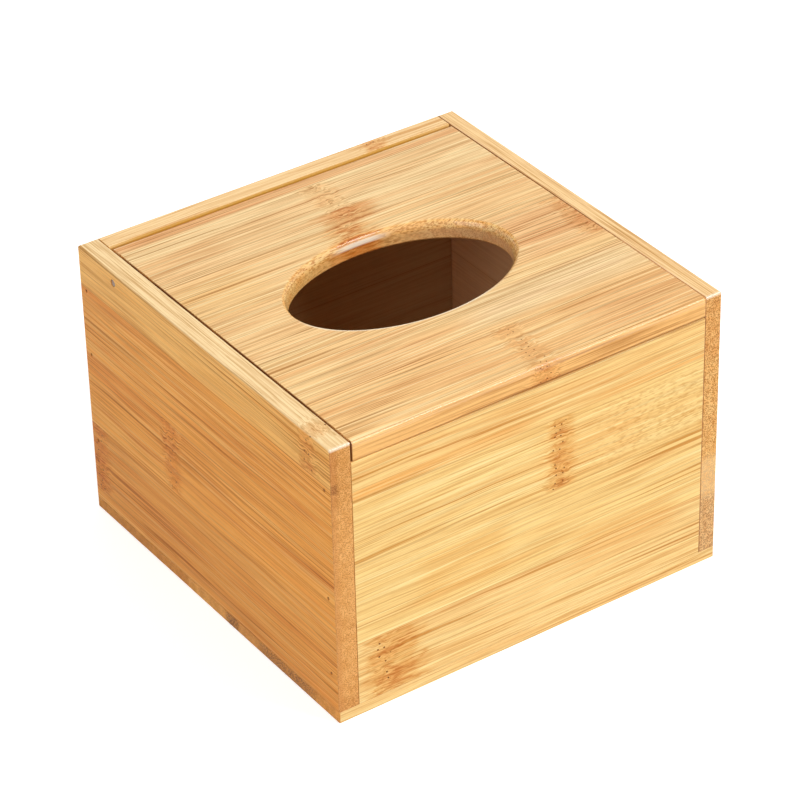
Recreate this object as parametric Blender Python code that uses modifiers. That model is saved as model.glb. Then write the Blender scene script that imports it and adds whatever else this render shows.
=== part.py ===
"""Tissue box cover: a square bamboo box whose lid, with an oval mouth, swings up on two steel pins.

Metres, +Z up. The origin is the middle of the underside, -Y is the front and +X is the right.
"""

import math

import bmesh
import bpy
from mathutils import Matrix, Vector

MM = 0.001

# Overall size
BOX_WIDTH = 140.0 * MM
BOX_DEPTH = 137.5 * MM
BOX_HEIGHT = 97.0 * MM

# Boards
LEFT_THICKNESS = 7.0 * MM
RIGHT_THICKNESS = 5.8 * MM
FRONT_THICKNESS = 7.0 * MM
REAR_THICKNESS = 7.0 * MM
BASE_THICKNESS = 4.0 * MM
LID_THICKNESS = 6.8 * MM

# Gaps between boards: a glued seam, the lid's slits, and the room behind the lid's turning corner
SEAM = 0.3 * MM
LID_SLIT_LEFT = 1.0 * MM
LID_SLIT_RIGHT = 0.3 * MM
LID_TURN_ROOM = 0.55 * MM

# Lid: its tail reaches behind the hinge axis, and its oval mouth is centred this far from its front edge
LID_TAIL = 12.5 * MM
MOUTH_LENGTH = 76.4 * MM
MOUTH_WIDTH = 48.4 * MM
MOUTH_SETBACK = 65.5 * MM
MOUTH_TOP_ROUND = 1.8 * MM
MOUTH_UNDER_ROUND = 1.0 * MM

# Eased edges
EDGE_EASE = 0.8 * MM
CORNER_EASE = 0.5 * MM
LIP_ROUND = 1.3 * MM

# Steel pivot pins
PIN_RADIUS = 1.2 * MM
PIN_CHAMFER = 0.2 * MM
PIN_SINK = 0.2 * MM
PIN_REACH = 12.0 * MM
PIN_END_ROOM = 0.5 * MM
PIN_TIGHT_FIT = 0.05 * MM
PIN_RUNNING_FIT = 0.08 * MM

# Steel brads
BRAD_SHANK_RADIUS = 0.6 * MM
BRAD_HEAD_RADIUS = 0.9 * MM
BRAD_HEAD_HEIGHT = 0.4 * MM
BRAD_TIP_LENGTH = 1.5 * MM
BRAD_SINK = 0.2 * MM
BRAD_FIT = 0.05 * MM
SIDE_BRAD_LENGTH = 18.0 * MM
BASE_BRAD_LENGTH = 15.0 * MM

# How far up its wall each side brad is driven, and how far out from the middle each base brad is
FRONT_LOWER_BRAD_SHARE = 0.144
FRONT_MIDDLE_BRAD_SHARE = 0.461
FRONT_UPPER_BRAD_SHARE = 0.904
REAR_LOWER_BRAD_SHARE = 0.246
REAR_MIDDLE_BRAD_SHARE = 0.592
REAR_UPPER_BRAD_SHARE = 0.842
BASE_BRAD_SPREAD_SHARE = 0.28

# How far a cutter runs past the face that it opens
OVERRUN = 1.0 * MM

# Facets
MOUTH_SEGMENTS = 72
MOUTH_TOP_STEPS = 4
MOUTH_UNDER_STEPS = 2
EDGE_SEGMENTS = 3
PIN_SEGMENTS = 24
BRAD_SEGMENTS = 10
MERGE_DISTANCE = 0.01 * MM
SMOOTH_ANGLE = math.radians(40.0)

# Finishes: colour, roughness, metallic
FINISHES = {
    "lid_bamboo": ((0.83, 0.52, 0.22), 0.35, 0.0),
    "front_bamboo": ((0.85, 0.55, 0.22), 0.35, 0.0),
    "side_bamboo": ((0.62, 0.33, 0.12), 0.38, 0.0),
    "base_bamboo": ((0.80, 0.52, 0.24), 0.40, 0.0),
    "pin_steel": ((0.52, 0.50, 0.48), 0.35, 1.0),
    "brad_steel": ((0.36, 0.30, 0.25), 0.45, 1.0),
}

# The two faces of a box along each axis
FACE_PAIRS = (("left", "right"), ("front", "rear"), ("bottom", "top"))

# Turns that point a piece's own +Z out of each face
FACING = {
    "left": Matrix.Rotation(math.radians(-90.0), 4, "Y"),
    "right": Matrix.Rotation(math.radians(90.0), 4, "Y"),
    "bottom": Matrix.Rotation(math.radians(180.0), 4, "X"),
}

# Places that follow from the sizes
LEFT_FACE = -BOX_WIDTH / 2
RIGHT_FACE = BOX_WIDTH / 2
FRONT_FACE = -BOX_DEPTH / 2
REAR_FACE = BOX_DEPTH / 2
LEFT_INSIDE = LEFT_FACE + LEFT_THICKNESS
RIGHT_INSIDE = RIGHT_FACE - RIGHT_THICKNESS
REAR_INSIDE = REAR_FACE - REAR_THICKNESS
WALL_FOOT = BASE_THICKNESS + SEAM
LID_UNDERSIDE = BOX_HEIGHT - LID_THICKNESS
FRONT_WALL_TOP = LID_UNDERSIDE - SEAM
LID_TURN_RADIUS = math.hypot(LID_TAIL, LID_THICKNESS / 2)
HINGE_Y = REAR_INSIDE - LID_TURN_ROOM - LID_TURN_RADIUS
HINGE_Z = BOX_HEIGHT - LID_THICKNESS / 2


def clear_scene():
    """Remove every object that the file opened with."""
    for obj in list(bpy.data.objects):
        bpy.data.objects.remove(obj, do_unlink=True)


def new_collection(name):
    """Make a collection and link it to the scene."""
    collection = bpy.data.collections.new(name)
    bpy.context.scene.collection.children.link(collection)
    return collection


def make_finishes():
    """Make one Principled material for each finish."""
    finishes = {}
    for name, (colour, roughness, metallic) in FINISHES.items():
        material = bpy.data.materials.new(name)
        material.use_nodes = True
        shader = material.node_tree.nodes["Principled BSDF"]
        shader.inputs["Base Color"].default_value = (*colour, 1.0)
        shader.inputs["Roughness"].default_value = roughness
        shader.inputs["Metallic"].default_value = metallic
        finishes[name] = material
    return finishes


def new_piece(name, mesh, collection, material=None):
    """Put a mesh into the scene as a named object."""
    piece = bpy.data.objects.new(name, mesh)
    collection.objects.link(piece)
    if material:
        mesh.materials.append(material)
    return piece


def hide_cutter(cutter):
    """Show a cutter as wire only."""
    cutter.hide_render = True
    cutter.display_type = "WIRE"


def cut(board, cutter):
    """Add a cutter to the set that a board is cut with."""
    name = "cutters_" + board.name
    if name not in board.modifiers:
        boolean = board.modifiers.new(name, "BOOLEAN")
        boolean.operation = "DIFFERENCE"
        boolean.solver = "EXACT"
        boolean.operand_type = "COLLECTION"
        boolean.collection = bpy.data.collections.new(name)
    board.modifiers[name].collection.objects.link(cutter)


def edge_faces(edge):
    """Name the two box faces that an edge of a centred box lies between."""
    middle = (edge.verts[0].co + edge.verts[1].co) / 2
    named = set()
    for along, (low_face, high_face) in zip(middle, FACE_PAIRS):
        if along < -MERGE_DISTANCE:
            named.add(low_face)
        if along > MERGE_DISTANCE:
            named.add(high_face)
    return named


def make_board(name, low, high, eased, collection, material):
    """Make a board between two corners, with a rounding radius for each edge named in eased."""
    low = Vector(low)
    high = Vector(high)
    bm = bmesh.new()
    bmesh.ops.create_cube(bm, size=1.0, matrix=Matrix.Diagonal((*(high - low), 1.0)))
    widest = max(eased.values())
    weights = bm.edges.layers.float.new("bevel_weight_edge")
    for edge in bm.edges:
        for faces, radius in eased.items():
            if edge_faces(edge) == set(faces):
                edge[weights] = radius / widest
    mesh = bpy.data.meshes.new(name)
    bm.to_mesh(mesh)
    bm.free()
    board = new_piece(name, mesh, collection, material)
    board.location = (low + high) / 2
    bevel = board.modifiers.new("eased_edges", "BEVEL")
    bevel.limit_method = "WEIGHT"
    bevel.width = widest
    bevel.segments = EDGE_SEGMENTS
    return board


def make_turned(name, profile, segments, collection, material=None):
    """Turn a profile, given from the top down as radius and height, about its own Z axis."""
    mesh = bpy.data.meshes.new(name)
    points = [(radius, 0.0, height) for radius, height in profile]
    mesh.from_pydata(points, [(i, i + 1) for i in range(len(points) - 1)], [])
    piece = new_piece(name, mesh, collection, material)
    screw = piece.modifiers.new("turned", "SCREW")
    screw.steps = segments
    screw.render_steps = segments
    screw.use_merge_vertices = True
    screw.merge_threshold = MERGE_DISTANCE
    return piece


def place(piece, point, face):
    """Put a turned piece at a point, with its own +Z out of the named face."""
    piece.matrix_world = Matrix.Translation(point) @ FACING[face]


def brad_profile(length, growth, top):
    """Give a brad's profile, with its head's top at zero, grown all round and carried up to top."""
    shank = BRAD_SHANK_RADIUS + growth
    head = BRAD_HEAD_RADIUS + growth
    tip = -length - growth
    return [
        (0.0, top),
        (head, top),
        (head, -BRAD_HEAD_HEIGHT - growth),
        (shank, -BRAD_HEAD_HEIGHT - growth),
        (shank, tip + BRAD_TIP_LENGTH),
        (0.0, tip),
    ]


def drive_brad(name, point, face, length, boards, parts, cutters, material):
    """Drive a brad into the named face at a point, through the boards given."""
    outward = FACING[face] @ Vector((0.0, 0.0, 1.0))
    head_place = Vector(point) - outward * BRAD_SINK
    brad = make_turned(name, brad_profile(length, 0.0, 0.0), BRAD_SEGMENTS, parts, material)
    place(brad, head_place, face)
    grown = brad_profile(length, BRAD_FIT, BRAD_SINK + OVERRUN)
    hole = make_turned("hole_" + name, grown, BRAD_SEGMENTS, cutters)
    place(hole, head_place, face)
    hide_cutter(hole)
    for board in boards:
        cut(board, hole)


def rim_rings(radius, steps):
    """Give a rounded rim's rings as growth and depth, from just outside the face down to the wall."""
    rings = []
    for step in range(1, steps + 1):
        turn = math.pi / 2 * step / steps
        rings.append((radius * (1 - math.sin(turn)), radius * (1 - math.cos(turn))))
    first_growth, first_depth = rings[0]
    outside = (radius + (radius - first_growth), -first_depth)
    return [outside, *rings]


def make_mouth_cutter(collection):
    """Make the oval cutter, flared at both ends so that it rounds the mouth's two rims."""
    half_length = MOUTH_LENGTH / 2
    half_width = MOUTH_WIDTH / 2
    half_lid = LID_THICKNESS / 2
    under = [(growth, depth - half_lid) for growth, depth in rim_rings(MOUTH_UNDER_ROUND, MOUTH_UNDER_STEPS)]
    over = [(growth, half_lid - depth) for growth, depth in rim_rings(MOUTH_TOP_ROUND, MOUTH_TOP_STEPS)]
    rings = under + over[::-1]
    bm = bmesh.new()
    previous = None
    for index, (growth, height) in enumerate(rings):
        stretch = Matrix.Diagonal((half_length + growth, half_width + growth, 1.0, 1.0))
        ring = bmesh.ops.create_circle(
            bm,
            cap_ends=index in (0, len(rings) - 1),
            segments=MOUTH_SEGMENTS,
            radius=1.0,
            matrix=Matrix.Translation((0.0, 0.0, height)) @ stretch,
        )
        edges = list({edge for vert in ring["verts"] for edge in vert.link_edges})
        if previous:
            bmesh.ops.bridge_loops(bm, edges=previous + edges)
        previous = edges
    bmesh.ops.recalc_face_normals(bm, faces=bm.faces)
    mesh = bpy.data.meshes.new("mouth_cutter")
    bm.to_mesh(mesh)
    bm.free()
    cutter = new_piece("mouth_cutter", mesh, collection)
    hide_cutter(cutter)
    return cutter


def make_walls(parts, finishes):
    """Make the base and the four walls that stand on it."""
    boards = {}
    boards["base_panel"] = make_board(
        "base_panel",
        (LEFT_FACE, FRONT_FACE, 0.0),
        (RIGHT_FACE, REAR_FACE, BASE_THICKNESS),
        {
            ("front", "left"): CORNER_EASE,
            ("front", "right"): CORNER_EASE,
            ("rear", "left"): CORNER_EASE,
            ("rear", "right"): CORNER_EASE,
            ("bottom", "front"): CORNER_EASE,
            ("bottom", "rear"): CORNER_EASE,
            ("bottom", "left"): CORNER_EASE,
            ("bottom", "right"): CORNER_EASE,
        },
        parts,
        finishes["base_bamboo"],
    )
    for side, inner, low_x, high_x in (
        ("left", "right", LEFT_FACE, LEFT_INSIDE),
        ("right", "left", RIGHT_INSIDE, RIGHT_FACE),
    ):
        name = side + "_side_panel"
        boards[name] = make_board(
            name,
            (low_x, FRONT_FACE, WALL_FOOT),
            (high_x, REAR_FACE, BOX_HEIGHT),
            {
                ("top", side): EDGE_EASE,
                ("top", inner): EDGE_EASE,
                ("top", "front"): EDGE_EASE,
                ("top", "rear"): EDGE_EASE,
                ("front", side): CORNER_EASE,
                ("rear", side): CORNER_EASE,
            },
            parts,
            finishes["side_bamboo"],
        )
    boards["front_panel"] = make_board(
        "front_panel",
        (LEFT_INSIDE + SEAM, FRONT_FACE, WALL_FOOT),
        (RIGHT_INSIDE - SEAM, FRONT_FACE + FRONT_THICKNESS, FRONT_WALL_TOP),
        {("top", "front"): CORNER_EASE, ("top", "rear"): CORNER_EASE},
        parts,
        finishes["front_bamboo"],
    )
    boards["rear_panel"] = make_board(
        "rear_panel",
        (LEFT_INSIDE + SEAM, REAR_INSIDE, WALL_FOOT),
        (RIGHT_INSIDE - SEAM, REAR_FACE, BOX_HEIGHT),
        {("top", "front"): LIP_ROUND, ("top", "rear"): EDGE_EASE},
        parts,
        finishes["front_bamboo"],
    )
    return boards


def make_lid(parts, cutters, finishes):
    """Make the lid under an empty on the hinge axis, and open its oval mouth."""
    axis = bpy.data.objects.new("lid_hinge_axis", None)
    axis.location = (0.0, HINGE_Y, HINGE_Z)
    parts.objects.link(axis)
    low = Vector((LEFT_INSIDE + LID_SLIT_LEFT, FRONT_FACE, LID_UNDERSIDE))
    high = Vector((RIGHT_INSIDE - LID_SLIT_RIGHT, HINGE_Y + LID_TAIL, BOX_HEIGHT))
    lid = make_board(
        "lid",
        low - axis.location,
        high - axis.location,
        {
            ("top", "front"): LIP_ROUND,
            ("top", "rear"): EDGE_EASE,
            ("top", "left"): EDGE_EASE,
            ("top", "right"): EDGE_EASE,
            ("front", "left"): EDGE_EASE,
            ("front", "right"): EDGE_EASE,
            ("bottom", "front"): CORNER_EASE,
            ("bottom", "rear"): CORNER_EASE,
        },
        parts,
        finishes["lid_bamboo"],
    )
    lid.parent = axis
    mouth = make_mouth_cutter(cutters)
    mouth.location = (0.0, FRONT_FACE + MOUTH_SETBACK, HINGE_Z)
    cut(lid, mouth)
    return lid


def fit_pivot_pins(boards, lid, parts, cutters, finishes):
    """Fit a pin through each side panel into the lid, tight in the panel and loose in the lid."""
    for side, outward, face_x, thickness, slit in (
        ("left", -1, LEFT_FACE, LEFT_THICKNESS, LID_SLIT_LEFT),
        ("right", 1, RIGHT_FACE, RIGHT_THICKNESS, LID_SLIT_RIGHT),
    ):
        length = thickness - PIN_SINK + slit + PIN_REACH
        profile = [
            (0.0, 0.0),
            (PIN_RADIUS - PIN_CHAMFER, 0.0),
            (PIN_RADIUS, -PIN_CHAMFER),
            (PIN_RADIUS, PIN_CHAMFER - length),
            (PIN_RADIUS - PIN_CHAMFER, -length),
            (0.0, -length),
        ]
        pin = make_turned(side + "_pivot_pin", profile, PIN_SEGMENTS, parts, finishes["pin_steel"])
        place(pin, (face_x - outward * PIN_SINK, HINGE_Y, HINGE_Z), side)
        holes = (
            ("panel", PIN_TIGHT_FIT, OVERRUN, thickness + slit / 2, boards[side + "_side_panel"]),
            ("lid", PIN_RUNNING_FIT, -thickness - slit / 2, thickness + slit + PIN_REACH + PIN_END_ROOM, lid),
        )
        for where, fit, mouth, depth, board in holes:
            radius = PIN_RADIUS + fit
            name = side + "_pin_hole_" + where
            bore = [(0.0, mouth), (radius, mouth), (radius, -depth), (0.0, -depth)]
            hole = make_turned(name, bore, PIN_SEGMENTS, cutters)
            place(hole, (face_x, HINGE_Y, HINGE_Z), side)
            hide_cutter(hole)
            cut(board, hole)


def drive_side_brads(boards, parts, cutters, finishes):
    """Drive three brads through each side panel into each end of the front and rear panels."""
    walls = {
        "front": (FRONT_FACE + FRONT_THICKNESS / 2, FRONT_WALL_TOP),
        "rear": (REAR_FACE - REAR_THICKNESS / 2, BOX_HEIGHT),
    }
    brads = (
        ("front", "lower", FRONT_LOWER_BRAD_SHARE),
        ("front", "middle", FRONT_MIDDLE_BRAD_SHARE),
        ("front", "upper", FRONT_UPPER_BRAD_SHARE),
        ("rear", "lower", REAR_LOWER_BRAD_SHARE),
        ("rear", "middle", REAR_MIDDLE_BRAD_SHARE),
        ("rear", "upper", REAR_UPPER_BRAD_SHARE),
    )
    for side, face_x in (("left", LEFT_FACE), ("right", RIGHT_FACE)):
        for wall, level, rise_share in brads:
            middle_y, wall_top = walls[wall]
            drive_brad(
                "_".join(("brad", side, wall, level)),
                (face_x, middle_y, WALL_FOOT + (wall_top - WALL_FOOT) * rise_share),
                side,
                SIDE_BRAD_LENGTH,
                (boards[side + "_side_panel"], boards[wall + "_panel"]),
                parts,
                cutters,
                finishes["brad_steel"],
            )


def drive_base_brads(boards, parts, cutters, finishes):
    """Drive two brads up through the base into the foot of each wall."""
    spread_x = BOX_WIDTH * BASE_BRAD_SPREAD_SHARE
    spread_y = BOX_DEPTH * BASE_BRAD_SPREAD_SHARE
    places = {
        "brad_base_left_front": ("left_side_panel", LEFT_FACE + LEFT_THICKNESS / 2, -spread_y),
        "brad_base_left_rear": ("left_side_panel", LEFT_FACE + LEFT_THICKNESS / 2, spread_y),
        "brad_base_right_front": ("right_side_panel", RIGHT_FACE - RIGHT_THICKNESS / 2, -spread_y),
        "brad_base_right_rear": ("right_side_panel", RIGHT_FACE - RIGHT_THICKNESS / 2, spread_y),
        "brad_base_front_left": ("front_panel", -spread_x, FRONT_FACE + FRONT_THICKNESS / 2),
        "brad_base_front_right": ("front_panel", spread_x, FRONT_FACE + FRONT_THICKNESS / 2),
        "brad_base_rear_left": ("rear_panel", -spread_x, REAR_FACE - REAR_THICKNESS / 2),
        "brad_base_rear_right": ("rear_panel", spread_x, REAR_FACE - REAR_THICKNESS / 2),
    }
    for name, (wall, x, y) in places.items():
        drive_brad(
            name,
            (x, y, 0.0),
            "bottom",
            BASE_BRAD_LENGTH,
            (boards["base_panel"], boards[wall]),
            parts,
            cutters,
            finishes["brad_steel"],
        )


def smooth_pieces(parts):
    """Shade the round stretches smooth and keep the flat faces crisp."""
    for piece in parts.objects:
        if piece.type == "MESH":
            piece.data.shade_smooth()
            piece.data.set_sharp_from_angle(angle=SMOOTH_ANGLE)


def main():
    """Build the box, its lid and its steel."""
    clear_scene()
    parts = new_collection("tissue_box_cover")
    cutters = new_collection("cutters")
    finishes = make_finishes()
    boards = make_walls(parts, finishes)
    lid = make_lid(parts, cutters, finishes)
    fit_pivot_pins(boards, lid, parts, cutters, finishes)
    drive_side_brads(boards, parts, cutters, finishes)
    drive_base_brads(boards, parts, cutters, finishes)
    smooth_pieces(parts)


main()
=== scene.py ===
"""Looks of a bamboo tissue box cover: varnished boards, a lid with an oval mouth, steel pins and brads.

Metres, +Z up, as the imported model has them: -Y is the front and +X is the right.
"""

import logging
import math
from collections.abc import Callable, Iterable
from dataclasses import dataclass, field, replace
from enum import Enum

import bmesh
import bpy
from mathutils import Matrix, Vector, noise


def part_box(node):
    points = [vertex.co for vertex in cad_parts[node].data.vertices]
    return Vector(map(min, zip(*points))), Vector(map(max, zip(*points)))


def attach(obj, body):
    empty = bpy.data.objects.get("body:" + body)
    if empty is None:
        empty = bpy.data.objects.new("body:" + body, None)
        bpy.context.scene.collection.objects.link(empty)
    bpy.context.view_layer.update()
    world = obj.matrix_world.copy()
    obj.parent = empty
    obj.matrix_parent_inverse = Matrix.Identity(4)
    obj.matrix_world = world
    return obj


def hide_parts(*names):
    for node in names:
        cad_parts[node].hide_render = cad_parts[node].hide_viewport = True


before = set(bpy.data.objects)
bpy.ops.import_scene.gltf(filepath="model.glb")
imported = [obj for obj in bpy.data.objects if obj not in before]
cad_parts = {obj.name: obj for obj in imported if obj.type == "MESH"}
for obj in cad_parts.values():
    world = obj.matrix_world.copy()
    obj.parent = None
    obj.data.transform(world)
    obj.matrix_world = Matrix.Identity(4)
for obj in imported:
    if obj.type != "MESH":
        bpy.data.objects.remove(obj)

LOG = logging.getLogger("tissue_box_cover")
MM = 0.001
MOUTH_TURN = math.radians(1.65)

Colour = tuple[float, float, float]
Socket = bpy.types.NodeSocket
Feed = Socket | float | tuple | Vector | bpy.types.Material


class Face(Enum):
    """The six faces of a board, each with its axis and its side of that axis."""

    LEFT = (0, -1)
    RIGHT = (0, 1)
    FRONT = (1, -1)
    REAR = (1, 1)
    BOTTOM = (2, -1)
    TOP = (2, 1)

    @property
    def outward(self) -> Vector:
        """The direction out of the face.

        Returns:
            A unit vector.
        """
        axis, side = self.value
        direction = Vector((0.0, 0.0, 0.0))
        direction[axis] = side
        return direction


class Grain(Enum):
    """How a board's fibres lie: its axes along the fibres, across the strips and through the thickness."""

    ALONG_X_UPRIGHT = (0, 2, 1)
    ALONG_X_FLAT = (0, 1, 2)
    ALONG_Y_UPRIGHT = (1, 2, 0)

    @property
    def along(self) -> int:
        """The axis that the fibres run along."""
        return self.value[0]

    @property
    def across(self) -> int:
        """The axis that the strips lie side by side on."""
        return self.value[1]


class Sketch:
    """Adds nodes to one node tree and links them."""

    def __init__(self, tree: bpy.types.NodeTree) -> None:
        """Keep the tree that the nodes go into."""
        self.tree = tree

    def node(self, kind: str, **settings: object) -> bpy.types.Node:
        """Add a node.

        Args:
            kind: the node's type name.
            settings: properties to set on it.

        Returns:
            The new node.
        """
        made = self.tree.nodes.new(kind)
        for name, value in settings.items():
            setattr(made, name, value)
        return made

    def feed(self, socket: Socket, value: Feed) -> None:
        """Link a socket to another, or set its own value.

        Args:
            socket: the socket to fill.
            value: another socket, or a plain value.
        """
        if isinstance(value, bpy.types.NodeSocket):
            self.tree.links.new(value, socket)
        elif isinstance(value, tuple) and len(value) == 3 and socket.type == "RGBA":
            socket.default_value = (*value, 1.0)
        else:
            socket.default_value = value

    def supply(self, made: bpy.types.Node, **values: Feed) -> bpy.types.Node:
        """Feed a node's inputs.

        Args:
            made: the node.
            values: its inputs, by name with underscores for spaces.

        Returns:
            The same node.
        """
        for name, value in values.items():
            self.feed(made.inputs[name.replace("_", " ")], value)
        return made

    def math(self, operation: str, *terms: Feed, clamp: bool = False) -> Socket:
        """Work a sum on numbers.

        Args:
            operation: the Math node's operation.
            terms: its numbers, linked or plain.
            clamp: whether the result stays between 0 and 1.

        Returns:
            The result.
        """
        made = self.node("ShaderNodeMath", operation=operation, use_clamp=clamp)
        for socket, term in zip(made.inputs, terms):
            self.feed(socket, term)
        return made.outputs[0]

    def times(self, *terms: Feed) -> Socket:
        """Multiply numbers together.

        Args:
            terms: the numbers, linked or plain.

        Returns:
            Their product.
        """
        product = terms[0]
        for term in terms[1:]:
            product = self.math("MULTIPLY", product, term)
        return product

    def scaled(self, value: Feed, by: Feed, onto: Feed) -> Socket:
        """Multiply a number by another and add it onto a third."""
        return self.math("MULTIPLY_ADD", value, by, onto)

    def plus(self, first: Feed, second: Feed) -> Socket:
        """Add two numbers."""
        return self.math("ADD", first, second)

    def less(self, first: Feed, second: Feed) -> Socket:
        """Take the second number away from the first."""
        return self.math("SUBTRACT", first, second)

    def over(self, first: Feed, second: Feed) -> Socket:
        """Divide the first number by the second."""
        return self.math("DIVIDE", first, second)

    def most(self, first: Feed, second: Feed) -> Socket:
        """Give the larger of two numbers."""
        return self.math("MAXIMUM", first, second)

    def least(self, first: Feed, second: Feed) -> Socket:
        """Give the smaller of two numbers."""
        return self.math("MINIMUM", first, second)

    def size_of(self, value: Feed) -> Socket:
        """Give a number without its sign."""
        return self.math("ABSOLUTE", value)

    def vector(self, operation: str, *terms: Feed) -> Socket:
        """Work a sum on vectors.

        Args:
            operation: the Vector Math node's operation.
            terms: its vectors, linked or plain.

        Returns:
            The result, as a vector.
        """
        made = self.node("ShaderNodeVectorMath", operation=operation)
        for socket, term in zip(made.inputs, terms):
            self.feed(socket, term)
        return made.outputs["Vector"]

    def split(self, vector: Feed) -> tuple[Socket, Socket, Socket]:
        """Take a vector apart into its three numbers.

        Args:
            vector: the vector.

        Returns:
            Its x, y and z.
        """
        made = self.node("ShaderNodeSeparateXYZ")
        self.feed(made.inputs[0], vector)
        return tuple(made.outputs)

    def join(self, first: Feed, second: Feed, third: Feed) -> Socket:
        """Put three numbers together as a vector.

        Args:
            first: the vector's x.
            second: its y.
            third: its z.

        Returns:
            The vector.
        """
        made = self.node("ShaderNodeCombineXYZ")
        for socket, term in zip(made.inputs, (first, second, third)):
            self.feed(socket, term)
        return made.outputs[0]

    def ease(self, value: Feed, low: Feed, high: Feed, start: Feed = 0.0, end: Feed = 1.0) -> Socket:
        """Carry a value smoothly from one range to another.

        Args:
            value: the number to carry over.
            low: where the result is start.
            high: where the result is end.
            start: the result at and before low.
            end: the result at and past high.

        Returns:
            The eased number.
        """
        made = self.node("ShaderNodeMapRange", interpolation_type="SMOOTHSTEP")
        for socket, term in zip(made.inputs, (value, low, high, start, end)):
            self.feed(socket, term)
        return made.outputs[0]

    def cloud(self, vector: Feed, detail: float = 1.0, roughness: float = 0.5) -> Socket:
        """Sample a noise field of unit scale.

        Args:
            vector: where to sample it.
            detail: how many finer layers it has.
            roughness: how strong the finer layers are.

        Returns:
            A number about one half.
        """
        made = self.node("ShaderNodeTexNoise")
        self.supply(made, Vector=vector, Scale=1.0, Detail=detail, Roughness=roughness)
        return made.outputs[0]

    def stretched(self, vector: Feed, features: Feed, detail: float = 1.0, roughness: float = 0.5) -> Socket:
        """Sample the noise field with so many features a metre along each axis."""
        return self.cloud(self.vector("MULTIPLY", vector, features), detail, roughness)

    def cells(self, vector: Feed, randomness: float = 1.0, flat: bool = False) -> tuple[Socket, Socket]:
        """Sample a cell pattern of unit scale at a vector.

        Args:
            vector: where to sample it.
            randomness: how far the cells' centres stray.
            flat: whether the cells lie in two dimensions only.

        Returns:
            The distance to the nearest centre, and that cell's random colour.
        """
        made = self.node("ShaderNodeTexVoronoi", voronoi_dimensions="2D" if flat else "3D")
        self.supply(made, Vector=vector, Scale=1.0, Randomness=randomness)
        return made.outputs["Distance"], made.outputs["Color"]

    def relief(self, height: Socket, strength: float, distance: float) -> Socket:
        """Give the normal of a raised or sunk height."""
        made = self.supply(self.node("ShaderNodeBump"), Strength=strength, Distance=distance, Height=height)
        return made.outputs["Normal"]

    def blend(self, factor: Feed, first: Feed, second: Feed, way: str = "MIX") -> Socket:
        """Mix two colours.

        Args:
            factor: how much of the second shows.
            first: the colour underneath.
            second: the colour on top.
            way: the blend type.

        Returns:
            The mixed colour.
        """
        made = self.node("ShaderNodeMix", data_type="RGBA", blend_type=way)
        self.feed(made.inputs[0], factor)
        self.feed(made.inputs[6], first)
        self.feed(made.inputs[7], second)
        return made.outputs[2]

    def use(self, group: bpy.types.NodeTree, **values: Feed) -> bpy.types.Node:
        """Place a node group.

        Args:
            group: the group's tree.
            values: its inputs, by name with underscores for spaces.

        Returns:
            The group node.
        """
        kind = "GeometryNodeGroup" if self.tree.type == "GEOMETRY" else "ShaderNodeGroup"
        return self.supply(self.node(kind, node_tree=group), **values)


class ShaderPart:
    """A shader node group that is built once and shared by the materials."""

    def __init__(self, name: str, inputs: dict[str, str], outputs: dict[str, str]) -> None:
        """Make the empty group.

        Args:
            name: the group's name.
            inputs: socket names and types.
            outputs: socket names and types.
        """
        self.tree = bpy.data.node_groups.new(name, "ShaderNodeTree")
        for sockets, way in ((inputs, "INPUT"), (outputs, "OUTPUT")):
            for socket_name, kind in sockets.items():
                self.tree.interface.new_socket(socket_name, in_out=way, socket_type="NodeSocket" + kind)
        self.sketch = Sketch(self.tree)
        self.given = self.sketch.node("NodeGroupInput").outputs
        self.results = self.sketch.node("NodeGroupOutput").inputs

    def give(self, **values: Feed) -> None:
        """Link the group's outputs, by name with underscores for spaces."""
        for name, value in values.items():
            self.sketch.feed(self.results[name.replace("_", " ")], value)


def make_strip_group() -> bpy.types.NodeTree:
    """Make the group that lays a board out in glued strips.

    Returns:
        The group: it shifts the fibre pattern from strip to strip and marks the joints.
    """
    part = ShaderPart(
        "glued_strips",
        {"Place": "Vector", "Start": "Float", "Width": "Float", "Seed": "Float"},
        {"Place": "Vector", "Joint": "Float"},
    )
    spread = (3.0, 1.0, 1.0)
    joint_edges = (0.04 * MM, 0.22 * MM)
    s = part.sketch
    across = s.split(part.given["Place"])[1]
    count = s.over(s.less(across, part.given["Start"]), part.given["Width"])
    index = s.math("FLOOR", count)
    share = s.math("FRACT", count)
    dice = s.node("ShaderNodeTexWhiteNoise", noise_dimensions="2D")
    s.feed(dice.inputs["Vector"], s.join(index, part.given["Seed"], 0.0))
    shift = s.vector("MULTIPLY", dice.outputs["Color"], spread)
    edge = s.least(share, s.less(1.0, share))
    away = s.times(edge, part.given["Width"])
    part.give(
        Place=s.vector("ADD", part.given["Place"], shift),
        Joint=s.ease(away, *joint_edges, 1.0, 0.0),
    )
    return part.tree


@dataclass(frozen=True)
class FibreLayer:
    """One layer of the fibres: its features a metre along each axis, and where it starts and is full."""

    features: tuple[float, float, float]
    low: float
    high: float
    least: float = 0.0

    def draw(self, s: Sketch, place: Socket) -> Socket:
        """Give how strongly the layer shows at each place."""
        return s.ease(s.stretched(place, self.features), self.low, self.high, self.least, 1.0)


LONG_STREAKS = FibreLayer((12.0, 1500.0, 1000.0), 0.55, 0.65)
THIN_STREAKS = FibreLayer((26.0, 2300.0, 1600.0), 0.54, 0.68)
FLECKS = FibreLayer((430.0, 1700.0, 1200.0), 0.46, 0.68)
CROWDING = FibreLayer((9.0, 120.0, 90.0), 0.40, 0.60, least=0.30)
GLEAMS = FibreLayer((12.0, 1430.0, 900.0), 0.53, 0.66)

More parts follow.
